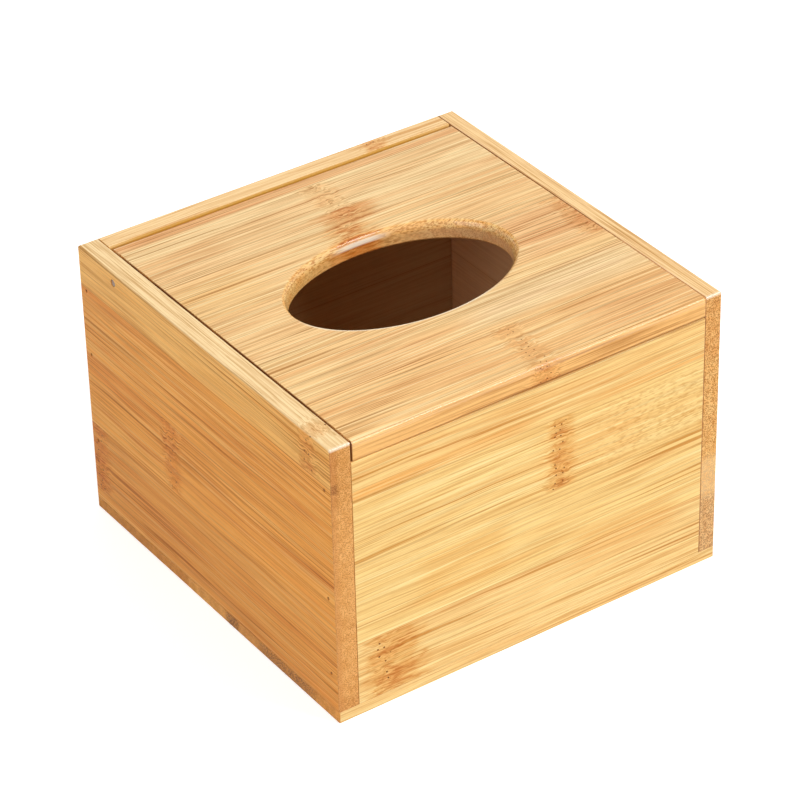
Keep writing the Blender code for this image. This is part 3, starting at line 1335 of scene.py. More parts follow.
@dataclass
class Board:
    """One sawn, sanded and varnished board."""

    name: str
    nodes: tuple[str, ...]
    body: str
    slot: str
    low: Vector
    high: Vector
    finish: BambooFinish
    eased: Eased
    glued_edge: float = 0.12 * MM
    wobble: float = 0.05 * MM
    step: float = 0.04 * MM
    steps: tuple[float, ...] = ()
    jag: float = 0.0
    closing: float = 0.0
    grid: float = 2.5 * MM
    inset: float = 2.0 * MM
    joint_half: float = 0.05 * MM
    worn_zone: float = 1.5 * MM
    ripple: float = 140.0
    ripple_share: float = 0.7
    fine_ripple: float = 420.0
    fine_share: float = 0.3
    jags: float = 110.0
    ripple_shift: float = 9.1
    fine_shift: float = 5.3
    step_spread: tuple[float, float, float] = (3.7, 1.9, 2.3)
    segments: int = 6
    profile: float = 0.40
    cutters: list[bpy.types.Object] = field(default_factory=list)
    piece: bpy.types.Object | None = None

    def make(self) -> bpy.types.Object:
        """Build the board, cut its holes and dress it.

        Returns:
            The finished object.
        """
        self.piece = self.make_blank()
        self.weather()
        for cutter in self.cutters:
            self.cut(cutter)
        smooth(self.piece)
        material = self.finish.make(self.low, self.high)
        self.piece.data.materials.clear()
        self.piece.data.materials.append(material)
        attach(self.piece, self.body)
        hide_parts(*self.nodes)
        LOG.info("%s: %d faces", self.name, len(self.piece.data.polygons))
        return self.piece

    def make_blank(self) -> bpy.types.Object:
        """Make the board's box with each edge rounded by its own radius.

        Returns:
            The blank.
        """
        bm = bmesh.new()
        bmesh.ops.create_cube(bm, size=1.0, matrix=Matrix.Diagonal((*(self.high - self.low), 1.0)))
        widest = max(self.eased.values())
        weights = bm.edges.layers.float.new("bevel_weight_edge")
        for edge in bm.edges:
            middle = (edge.verts[0].co + edge.verts[1].co) / 2
            named = {face for face in Face if middle[face.value[0]] * face.value[1] > self.glued_edge}
            radius = self.glued_edge
            for faces, width in self.eased.items():
                if named == set(faces):
                    radius = width
            edge[weights] = radius / widest
        bmesh.ops.translate(bm, verts=bm.verts, vec=(self.low + self.high) / 2)
        mesh = bpy.data.meshes.new(self.name)
        bm.to_mesh(mesh)
        bm.free()
        piece = link_piece(self.name, mesh)
        bevel = piece.modifiers.new("eased_edges", "BEVEL")
        bevel.limit_method = "WEIGHT"
        bevel.width = widest
        bevel.segments = self.segments
        bevel.profile = self.profile
        return settle(piece)

    def stations(self, axis: int) -> list[float]:
        """Find where the board is divided along an axis.

        Args:
            axis: the axis's number.

        Returns:
            The places on that axis.
        """
        low = self.low[axis] + self.inset
        high = self.high[axis] - self.inset
        count = max(1, round((high - low) / self.grid))
        places = [low + (high - low) * index / count for index in range(count + 1)]
        if axis == self.finish.grain.across:
            joint = self.finish.strip_start * MM
            while joint < high:
                if joint > low:
                    places += [joint - self.joint_half, joint + self.joint_half]
                joint += self.finish.strip_width * MM
        return places

    def weather(self) -> None:
        """Divide the board finely and let its edges wander a little, and its strips' ends step."""
        bm = bmesh.new()
        bm.from_mesh(self.piece.data)
        grain = self.finish.grain
        for axis in (grain.along, grain.across):
            normal = Vector((0.0, 0.0, 0.0))
            normal[axis] = 1.0
            for place in self.stations(axis):
                bmesh.ops.bisect_plane(
                    bm,
                    geom=[*bm.verts, *bm.edges, *bm.faces],
                    dist=0.001 * MM,
                    plane_co=normal * place,
                    plane_no=normal,
                )
        for vert in bm.verts:
            vert.co += self.wander(vert.co)
        bm.to_mesh(self.piece.data)
        bm.free()

    def wander(self, spot: Vector) -> Vector:
        """Give how far a point of the board moves inward.

        Args:
            spot: the point.

        Returns:
            The move, which is nothing on the flats.
        """
        zone = self.worn_zone
        grain = self.finish.grain
        seed = self.finish.seed
        sides = []
        for axis in range(3):
            to_low = spot[axis] - self.low[axis]
            to_high = self.high[axis] - spot[axis]
            sides.append((min(to_low, to_high), 1.0 if to_low < to_high else -1.0))
        move = Vector((0.0, 0.0, 0.0))
        for axis in range(3):
            gap, inward = sides[axis]
            others = min(sides[other][0] for other in range(3) if other != axis)
            near = max(0.0, 1.0 - gap / zone) * max(0.0, 1.0 - others / zone)
            ripple = noise.noise(spot * self.ripple + Vector((axis * self.ripple_shift, seed, 0.0)))
            fine = noise.noise(spot * self.fine_ripple + Vector((seed, axis * self.fine_shift, 0.0)))
            uneven = self.ripple_share * ripple + self.fine_share * fine
            amount = self.wobble * near * (0.5 + 0.5 * uneven)
            if axis == grain.along and gap < zone:
                amount += self.end_step(spot, inward, 1.0 - gap / zone)
            move[axis] += inward * amount
        return move

    def end_step(self, spot: Vector, inward: float, near: float) -> float:
        """Give how far a point at a board's end moves in along the fibres.

        Args:
            spot: the point.
            inward: 1 at the low end and -1 at the high end.
            near: how near the end it is, from 0 to 1.

        Returns:
            The move inward, which is below zero where the end closes its gap.
        """
        across = self.finish.grain.across
        if inward < 0 and self.closing:
            depth = (self.high[across] - spot[across]) / (self.high - self.low)[across]
            return -self.closing * near * min(1.0, max(0.0, 2.0 * depth - 0.4))
        from_start = spot[across] - self.finish.strip_start * MM
        strip = math.floor(from_start / (self.finish.strip_width * MM))
        spread = self.step_spread
        dice = Vector((strip * spread[0] + 0.5, self.finish.seed * spread[1], inward * spread[2]))
        share = 0.5 + 0.5 * noise.noise(dice)
        if self.steps:
            share = self.steps[min(max(strip, 0), len(self.steps) - 1)]
        jag = self.jag * noise.cell(Vector((spot[across] * self.jags, self.finish.seed, 0.5)))
        return self.step * share + jag

    def cut(self, cutter: bpy.types.Object) -> None:
        """Cut a closed shape out of the board and remove the cutter.

        Args:
            cutter: the closed shape.
        """
        boolean = self.piece.modifiers.new("cut", "BOOLEAN")
        boolean.operation = "DIFFERENCE"
        boolean.solver = "EXACT"
        boolean.object = cutter
        settle(self.piece)
        bpy.data.objects.remove(cutter, do_unlink=True)


@dataclass
class Steelwork:
    """The pivot pins and the brads, and the holes they sit in."""

    pin_shape: SteelShape
    brad_shape: SteelShape
    base_brad_length: float
    fit: float = 0.05 * MM
    overrun: float = 1.0 * MM
    tree: SteelTree = field(default_factory=SteelTree)

    def outward_of(self, node: str) -> Vector:
        """Find the way out of the wood at a steel node.

        Args:
            node: the node's name, which says what it goes into.

        Returns:
            A unit vector.
        """
        for word, face in (("base", Face.BOTTOM), ("left", Face.LEFT), ("right", Face.RIGHT)):
            if word in node.split("_")[:2]:
                return face.outward
        raise ValueError(node)

    def place_of(self, node: str) -> SteelPlace:
        """Find where a steel node is driven in.

        Args:
            node: the node's name.

        Returns:
            Its place, from the frame.
        """
        low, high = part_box(node)
        outward = self.outward_of(node)
        middle = (low + high) / 2
        half = (high - low) / 2
        return SteelPlace(middle + Vector(a * b for a, b in zip(outward, half)), outward)

    def named(self, *words: str) -> list[str]:
        """Give the CAD nodes whose names hold all the words."""
        return sorted(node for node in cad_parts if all(word in node.split("_") for word in words))

    def into(self, wall: str) -> list[str]:
        """Find the steel that passes into a wall.

        Args:
            wall: left, right, front or rear.

        Returns:
            The names of its nodes.
        """
        found = []
        for node in self.named(wall):
            words = node.split("_")
            if "panel" not in words and (words[1] != "base" or words[2] == wall):
                found.append(node)
        return found

    def sized(self, node: str) -> SteelShape:
        """Find the shape of a brad or a pin.

        Args:
            node: the node's name.

        Returns:
            Its turned profile.
        """
        if "pin" in node.split("_"):
            low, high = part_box(node)
            return replace(self.pin_shape, length=high.x - low.x)
        if node.startswith("brad_base"):
            return replace(self.brad_shape, length=self.base_brad_length)
        return self.brad_shape

    def holes(self, board: str, nodes: Iterable[str]) -> list[bpy.types.Object]:
        """Make the cutters for a board's steel, one for each size.

        Args:
            board: the board's name, for the cutters' names.
            nodes: the steel nodes that pass into it.

        Returns:
            The cutters.
        """
        sizes: dict[float, list[str]] = {}
        for node in nodes:
            sizes.setdefault(round(self.sized(node).length, 6), []).append(node)
        cutters = []
        for index, same in enumerate(sizes.values()):
            shape = self.sized(same[0]).grown(self.fit)
            places = [self.place_of(node) for node in same]
            cutters.append(self.tree.set_out(f"hole_{board}_{index}", places, shape, rise=self.overrun))
        return cutters

    def make(self, finishes: dict[str, SteelFinish]) -> list[bpy.types.Object]:
        """Build the brads and the pins, and put each set on the case.

        Args:
            finishes: the steel finishes by slot.

        Returns:
            The finished objects.
        """
        made = []
        brad_steel = finishes["brad_steel"].make()
        pin_steel = finishes["pin_steel"].make()
        side_brads = [node for node in self.named("brad") if "base" not in node.split("_")]
        sets = (
            ("side_brads", side_brads, brad_steel, "brad_steel"),
            ("base_brads", self.named("brad", "base"), brad_steel, "brad_steel"),
            ("left_pin", self.named("left", "pin"), pin_steel, "pin_steel"),
            ("right_pin", self.named("right", "pin"), pin_steel, "pin_steel"),
        )
        for name, nodes, material, slot in sets:
            places = [self.place_of(node) for node in nodes]
            piece = self.tree.set_out(name, places, self.sized(nodes[0]), material)
            smooth(piece)
            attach(piece, "case")
            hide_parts(*nodes)
            LOG.info("%s: stands for %d nodes", name, len(nodes))
            made.append(piece)
        return made


# Painted shade: the dark inside of the slits beside the lid, laid on the faces there.
PAINTED_SLIT_SHADE = (0.19, 0.065, 0.012)
LOW_END = (-80.0, -60.0)

LID_FINISH = BambooFinish(
    name="lid_bamboo_varnished",
    grain=Grain.ALONG_X_FLAT,
    pale=(1.0, 0.71, 0.355),
    honey=(0.98, 0.64, 0.30),
    deep=(0.88, 0.49, 0.205),
    streak=(0.55, 0.395, 0.245),
    gleam=(1.0, 0.79, 0.43),
    end_ground=(1.0, 0.67, 0.27),
    end_deep=(1.0, 0.56, 0.19),
    end_dot=(0.52, 0.17, 0.02),
    strip_start=-71.25,
    strip_width=25.5,
    strips=(
        Strip(0.58, (1.0, 0.98, 0.92)),
        Strip(0.46, (1.0, 1.01, 0.99)),
        Strip(0.46, (1.0, 1.01, 1.02)),
        Strip(0.46),
        Strip(0.40, (1.0, 1.03, 1.08)),
        Strip(0.78, (0.95, 0.87, 0.86)),
    ),
    seed=3.0,
    streak_strength=0.95,
    gleam_strength=0.66,
    hair_strength=0.40,
    bundle_count=1550.0,
    dot_strength=0.9,
    tints=(
        Tint(2, 96.90, 95.8, (0.96, 0.54, 0.185), 0.92),
        Tint(2, 90.6, 90.3, (0.99, 0.66, 0.31), 0.85),
    ),
    rim_gloss=GlossBand(94.8, 96.45, strength=0.75),
    # Painted highlight along the mouth's near edge.
    painted_rim_highlight=PaintedRimHighlight((0.0, -3.25), (40.0, 26.0)),
    cut_patches=(Patch((-50.0, 50.0), (-44.0, 38.0), 0.9, (93.4, 97.02), 0.12),),
    lines=(
        # Painted shade along the seam between the lid's underside and the front board.
        Blush((-55.0, 140.0), (-70.4, -68.1), 0.7, (89.7, 90.7), colour=(0.30, 0.12, 0.03)),
        # Painted shade in the left slit, along the lid's left end and down its front-left corner.
        Blush((-63.8, -62.1), (-80.0, 80.0), 1.0, (95.4, 98.0), colour=PAINTED_SLIT_SHADE),
        Blush((-63.8, -62.1), (-70.4, -67.2), 1.0, (88.0, 99.0), colour=PAINTED_SLIT_SHADE),
        Blush((-45.0, 10.0), (-30.0, 30.0), 0.35, (89.9, 96.0), 0.35, colour=(1.0, 0.54, 0.13)),
        Blush((-12.0, 11.0), (19.0, 24.5), 0.32, (90.3, 95.0), 0.2, colour=(0.90, 0.26, 0.03)),
        # Painted highlight: a pale streak on the rear of the mouth's rim.
        Blush((-11.5, 14.5), (18.5, 27.0), 0.75, (93.85, 96.05), 0.35, colour=(1.0, 0.94, 0.77)),
        Blush((8.0, 56.0), (-36.0, 36.0), 0.55, (89.9, 95.4), 0.4, colour=(0.80, 0.42, 0.21)),
    ),
    end_blushes=(
        Blush((-14.0, 12.0), (19.0, 24.5), 1.0, (90.0, 95.3), colour=(0.42, 0.07, 0.008)),
    ),
    blushes=(
        Blush((-50.0, -8.0), (-48.0, -24.0), 0.5, colour=(0.88, 0.50, 0.21)),
        Blush((-70.0, -30.0), (36.0, 50.0), 0.5, colour=(0.88, 0.50, 0.21)),
        Blush((30.0, 80.0), (-24.0, 8.0), 0.7, colour=(0.86, 0.47, 0.21)),
        Blush((20.0, 90.0), (-72.0, -44.0), 0.6, colour=(0.88, 0.48, 0.20)),
        Blush((-80.0, -30.0), (5.0, 30.0), 0.6, colour=(0.90, 0.55, 0.20)),
        Blush((-6.0, 20.0), (27.0, 41.0), 0.6, colour=(0.84, 0.45, 0.20)),
        Blush((-10.0, 76.0), (-45.0, -26.0), 0.6, colour=(1.0, 0.79, 0.47)),
    ),
    marks=(
        NodeMark(6.0, 43.5, reach=6.0, smudge=0.3, halo=0.35, pores=0.5, pore_share=0.2, seed=2.0),
        NodeMark(
            7.0, 34.5, half_span=4.6, reach=11.0, cover=0.44, smudge=0.6, halo=0.8, pores=0.0, seed=2.5
        ),
        NodeMark(0.5, 18.0, reach=9.0, cover=0.48, smudge=0.85, halo=0.7, pores=0.0, seed=3.0),
        NodeMark(63.0, -7.5, reach=6.0, smudge=0.6, halo=0.6, pores=0.3, seed=4.0),
        NodeMark(5.5, -58.0, smudge=0.2, halo=0.3, pore_share=0.62, pore_size=0.85, seed=5.0),
        NodeMark(4.0, -69.5, half_span=2.2, reach=6.0, cover=0.4, smudge=0.5, halo=0.5, pores=0.0, seed=6.0),
    ),
)

FRONT_FINISH = BambooFinish(
    name="front_bamboo_varnished",
    grain=Grain.ALONG_X_UPRIGHT,
    pale=(1.0, 0.745, 0.315),
    honey=(0.98, 0.68, 0.262),
    deep=(0.90, 0.53, 0.175),
    streak=(0.66, 0.42, 0.19),
    gleam=(1.0, 0.81, 0.39),
    end_ground=(0.80, 0.45, 0.13),
    end_deep=(0.68, 0.34, 0.09),
    end_dot=(0.34, 0.13, 0.03),
    strip_start=1.0,
    strip_width=25.0,
    strips=(
        Strip(0.48, (1.0, 1.0, 1.08)),
        Strip(0.44, (1.0, 1.01, 1.02)),
        Strip(0.38),
        Strip(0.62, (1.0, 0.99, 1.02)),
    ),
    seed=8.0,
    streak_strength=0.95,
    gleam_strength=0.60,
    lines=(
        # Painted shade along the seam under the lid, on the front face's top edge.
        Blush((-65.0, 150.0), (89.45, 90.2), 0.6, (-70.4, -68.1), colour=(0.42, 0.19, 0.05)),
    ),
    blushes=(
        Blush((-2.0, 46.0), (50.0, 76.0), 0.6, colour=(0.95, 0.56, 0.19)),
        Blush((-80.0, 10.0), (75.6, 81.0), 0.9, colour=(0.93, 0.48, 0.135)),
        Blush((10.0, 90.0), (75.6, 79.0), 0.6, colour=(0.93, 0.50, 0.145)),
        Blush((10.0, 60.0), (18.0, 33.0), 0.6, colour=(0.92, 0.50, 0.15)),
        Blush((-45.0, -5.0), (28.0, 50.0), 0.5, colour=(0.93, 0.53, 0.15)),
    ),
    marks=(
        NodeMark(
            10.0, 63.5, lean=-0.15, cover=0.40, smudge=0.75, halo=0.75, pores=1.0, pore_share=0.7, seed=6.0
        ),
        NodeMark(
            -54.0,
            14.5,
            half_span=11.4,
            reach=11.0,
            lean=-0.35,
            cover=0.42,
            smudge=0.75,
            halo=0.9,
            pores=1.0,
            pore_share=0.45,
            pore_size=1.2,
            seed=7.0,
        ),
    ),
    patches=(Patch((16.0, 80.0), (49.0, 78.0), 0.75),),
)

REAR_FINISH = replace(
    FRONT_FINISH,
    name="rear_bamboo_varnished",
    strip_start=-2.0,
    strips=(Strip(0.55), Strip(0.45), Strip(0.60), Strip(0.42, (0.99, 0.98, 1.1))),
    seed=14.0,
    arris_gloss=0.0,
    blushes=(),
    # Painted shade on the rear board's rounded lip, in the slit behind the lid.
    lines=(Blush((-90.0, 90.0), (94.6, 98.0), 0.95, (61.0, 62.5), colour=(0.58, 0.29, 0.04)),),
    tints=(
        Tint(2, 96.1, 96.9, (1.0, 0.71, 0.37), 0.95),
        # The inner face is darker: partly the raw inside tone, partly painted shade for the slit behind the
        # lid and the dim inside.
        Tint(1, 62.0, 61.8, (0.56, 0.35, 0.17), 0.9),
    ),
    marks=(
        NodeMark(-28.0, 35.5, reach=6.0, smudge=0.8, seed=8.0),
        NodeMark(37.0, 85.5, reach=5.0, smudge=0.7, seed=9.0),
    ),
    patches=(),
    quiet=(Patch((-90.0, 90.0), (-20.0, 93.0), 0.6, (57.0, 63.0), 0.1),),
)

# Painted highlight: a pale line on the side boards' front top arris.
PAINTED_ARRIS_HIGHLIGHT = Blush((-70.4, -67.6), (95.9, 98.4), 0.55, colour=(1.0, 0.84, 0.62))

# The outer faces' deep orange is partly the bamboo's own deeper tone and partly painted shade, for the
# dimmer, warmer light on the sides.
LEFT_FINISH = BambooFinish(
    name="left_bamboo_varnished",
    grain=Grain.ALONG_Y_UPRIGHT,
    pale=(0.98, 0.475, 0.105),
    honey=(0.94, 0.41, 0.073),
    deep=(0.86, 0.325, 0.05),
    streak=(0.58, 0.40, 0.18),
    gleam=(1.0, 0.60, 0.19),
    end_ground=(0.88, 0.46, 0.152),
    end_deep=(0.79, 0.385, 0.112),
    end_dot=(0.44, 0.155, 0.03),
    strip_start=-17.6,
    strip_width=25.27,
    strips=(
        Strip(0.50, (0.97, 0.96, 0.94)),
        Strip(0.58, (0.94, 0.93, 0.94)),
        Strip(0.50, (1.0, 1.0, 0.98)),
        Strip(0.56, (1.0, 1.0, 0.97)),
        Strip(0.20, (1.03, 1.18, 1.46)),
    ),
    seed=21.0,
    streak_strength=0.95,
    gleam_strength=0.48,
    bundle_count=1700.0,
    dot_strength=0.85,
    hair_strength=0.38,
    lines=(PAINTED_ARRIS_HIGHLIGHT,),
    rim_gloss=GlossBand(96.0, 97.3, on_ends_only=True),
    end_blushes=(
        Blush(LOW_END, (72.0, 106.0), 0.6, colour=(0.50, 0.20, 0.04)),
        Blush(LOW_END, (74.0, 100.0), 0.7, (-74.0, -66.5), colour=(0.40, 0.12, 0.02)),
        Blush(LOW_END, (81.0, 85.4), 1.0, (-73.0, -67.0), colour=(0.13, 0.03, 0.01)),
        Blush(LOW_END, (1.0, 10.0), 0.6, colour=(0.50, 0.20, 0.05)),
    ),
    tints=(
        Tint(2, 96.2, 96.95, (1.0, 0.76, 0.43), 0.9),
        Tint(0, -67.2, -69.2, (0.62, 0.25, 0.07), 0.4, True),
    ),
    marks=(
        NodeMark(20.0, 46.0, reach=5.0, smudge=0.45, halo=0.5, pores=0.8, seed=10.0),
        NodeMark(-57.0, 96.0, reach=4.0, smudge=0.6, halo=0.5, pores=1.0, seed=11.0),
        NodeMark(65.0, 20.5, reach=6.0, smudge=0.95, halo=0.8, pores=1.0, seed=12.0),
    ),
)

# Shares the left board's deep orange, with its share of painted side shade.
RIGHT_FINISH = replace(
    LEFT_FINISH,
    name="right_bamboo_varnished",
    end_ground=(0.98, 0.60, 0.225),
    end_deep=(0.92, 0.50, 0.165),
    end_dot=(0.42, 0.145, 0.022),
    dot_strength=1.0,
    bundle_count=1600.0,
    end_blushes=(
        Blush(LOW_END, (-6.0, 30.0), 0.5, colour=(0.44, 0.25, 0.12)),
        Blush(LOW_END, (22.0, 41.0), 0.5, colour=(1.0, 0.74, 0.42)),
    ),
    strip_start=0.0,
    strip_width=24.8,
    strips=(Strip(0.55), Strip(0.45), Strip(0.52), Strip(0.48)),
    end_strips=((0.96, 1.0, 1.18), (0.96, 0.95, 0.92), (0.96, 0.95, 0.92), (0.90, 0.82, 0.75)),
    seed=26.0,
    lines=(
        PAINTED_ARRIS_HIGHLIGHT,
        # Painted shade in the right slit, on the right board's inner top edge.
        Blush((-60.0, 140.0), (95.8, 98.2), 0.85, (63.9, 64.4), colour=(0.42, 0.20, 0.06)),
    ),
    quiet=(Patch((-90.0, 90.0), (-20.0, 93.0), 0.75, (63.0, 66.0), 0.1),),
    tints=(
        Tint(2, 96.2, 96.95, (1.0, 0.71, 0.37), 0.9),
        Tint(0, 64.8, 64.3, (0.92, 0.60, 0.34), 0.9),
    ),
    marks=(
        NodeMark(-24.0, 37.2, reach=5.0, smudge=0.6, pores=0.8, seed=15.0),
        NodeMark(-49.0, 62.0, reach=6.0, smudge=0.5, pores=0.8, seed=16.0),
    ),
)

BASE_FINISH = replace(
    FRONT_FINISH,
    name="base_bamboo_varnished",
    grain=Grain.ALONG_X_FLAT,
    end_ground=(0.84, 0.38, 0.08),
    end_deep=(0.72, 0.30, 0.055),
    end_dot=(0.36, 0.13, 0.02),
    dot_strength=0.35,
    bundle_count=1200.0,
    blushes=(),
    lines=(),
    end_blushes=(
        Blush(LOW_END, (-15.0, -6.0), 0.9, colour=(0.15, 0.05, 0.02)),
        Blush(LOW_END, (-60.0, -22.0), 0.85, colour=(0.18, 0.06, 0.025)),
    ),
    strip_start=-76.0,
    strip_width=22.5,
    strips=(
        Strip(0.42, (1.0, 1.03, 1.15)),
        Strip(0.55),
        Strip(0.45),
        Strip(0.60),
        Strip(0.50),
        Strip(0.45),
        Strip(0.50),
    ),
    end_strips=(
        (1.0, 1.0, 1.0),
        (1.03, 1.05, 1.08),
        (0.96, 0.99, 1.08),
        (1.05, 1.15, 1.30),
        (0.88, 0.84, 0.74),
        (0.84, 0.80, 0.68),
        (0.86, 0.82, 0.70),
    ),
    seed=31.0,
    marks=(
        NodeMark(-22.0, -19.7, reach=6.0, smudge=0.7, seed=13.0),
        NodeMark(41.0, 25.3, reach=5.0, smudge=0.6, seed=14.0),
    ),
    patches=(),
)

STEEL_FINISHES = {
    "pin_steel": SteelFinish("pin_steel_dull", (0.33, 0.27, 0.23), (0.42, 0.24, 0.12), 0.6, 1.0),
    "brad_steel": SteelFinish("brad_steel_dull", (0.40, 0.18, 0.06), (0.16, 0.06, 0.02), 0.5, 2.0),
}


@dataclass
class Carcass:
    """The base and the four walls, glued edge to edge."""

    steel: Steelwork
    glue_line: float = 0.06 * MM
    open_joint: float = 0.18 * MM
    edge_ease: float = 0.5 * MM
    inner_ease: float = 0.22 * MM
    seam_ease: float = 0.2 * MM
    corner_ease: float = 0.3 * MM
    lip_round: float = 0.8 * MM

    def make(self) -> list[bpy.types.Object]:
        """Build the five boards.

        Returns:
            The finished objects.
        """
        base_low, base_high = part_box("base_panel")
        foot = base_high.z + self.glue_line
        left_low, left_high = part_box("left_side_panel")
        right_low, right_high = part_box("right_side_panel")
        front_low, front_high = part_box("front_panel")
        rear_low, rear_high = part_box("rear_panel")
        for low in (left_low, right_low, front_low, rear_low):
            low.z = foot
        front_low.x = left_high.x + self.glue_line
        front_high.x = right_low.x - self.open_joint
        rear_low.x = left_high.x + self.open_joint
        rear_high.x = right_low.x - self.open_joint
        boards = (
            self.make_base(base_low, base_high),
            self.make_side("left", left_low, left_high),
            self.make_side("right", right_low, right_high),
            self.make_front(front_low, front_high),
            self.make_rear(rear_low, rear_high),
        )
        return [board.make() for board in boards]

    def make_base(self, low: Vector, high: Vector) -> Board:
        """Make the thin board under the walls.

        Args:
            low: the board's lowest corner.
            high: its highest corner.

        Returns:
            The board.
        """
        eased = {
            (side, end): self.corner_ease
            for side in (Face.LEFT, Face.RIGHT)
            for end in (Face.FRONT, Face.REAR)
        }
        for face in (Face.LEFT, Face.RIGHT, Face.FRONT, Face.REAR):
            eased[(Face.BOTTOM, face)] = self.corner_ease
        nodes = ("base_panel",)
        cutters = self.steel.holes("base", self.steel.named("brad", "base"))
        return Board(
            "base_board", nodes, "case", "base_bamboo", low, high, BASE_FINISH, eased, cutters=cutters
        )

    def make_side(self, side: str, low: Vector, high: Vector) -> Board:
        """Make a side wall, as deep as the box.

        Args:
            side: left or right.
            low: the board's lowest corner.
            high: its highest corner.

        Returns:
            The board.
        """
        outer, inner = (Face.LEFT, Face.RIGHT) if side == "left" else (Face.RIGHT, Face.LEFT)
        eased = {
            (Face.TOP, outer): self.edge_ease,
            (Face.TOP, inner): self.inner_ease,
            (Face.TOP, Face.FRONT): self.edge_ease,
            (Face.TOP, Face.REAR): self.edge_ease,
            (Face.FRONT, outer): self.corner_ease,
            (Face.REAR, outer): self.corner_ease,
        }
        name = side + "_side_board"
        nodes = (side + "_side_panel",)
        finish = LEFT_FINISH if side == "left" else RIGHT_FINISH
        cutters = self.steel.holes(side, self.steel.into(side))
        return Board(name, nodes, "case", "side_bamboo", low, high, finish, eased, cutters=cutters)

    def make_front(self, low: Vector, high: Vector) -> Board:
        """Make the front wall, whose top edge is under the lid."""
        eased = {(Face.TOP, Face.FRONT): self.seam_ease, (Face.TOP, Face.REAR): self.corner_ease}
        return self.make_crosswise("front", low, high, FRONT_FINISH, eased)

    def make_rear(self, low: Vector, high: Vector) -> Board:
        """Make the rear wall, whose rounded top shows behind the lid."""
        eased = {(Face.TOP, Face.FRONT): self.lip_round, (Face.TOP, Face.REAR): self.edge_ease}
        return self.make_crosswise("rear", low, high, REAR_FINISH, eased)

    def make_crosswise(
        self, wall: str, low: Vector, high: Vector, finish: BambooFinish, eased: Eased
    ) -> Board:
        """Make a wall that stands between the sides.

        Args:
            wall: front or rear.
            low: its lowest corner.
            high: its highest corner.
            finish: its finish.
            eased: its rounded edges.

        Returns:
            The board.
        """
        name = wall + "_board"
        nodes = (wall + "_panel",)
        cutters = self.steel.holes(wall, self.steel.into(wall))
        return Board(
            name, nodes, "case", "front_bamboo", low, high, finish, eased, step=0.0, cutters=cutters
        )


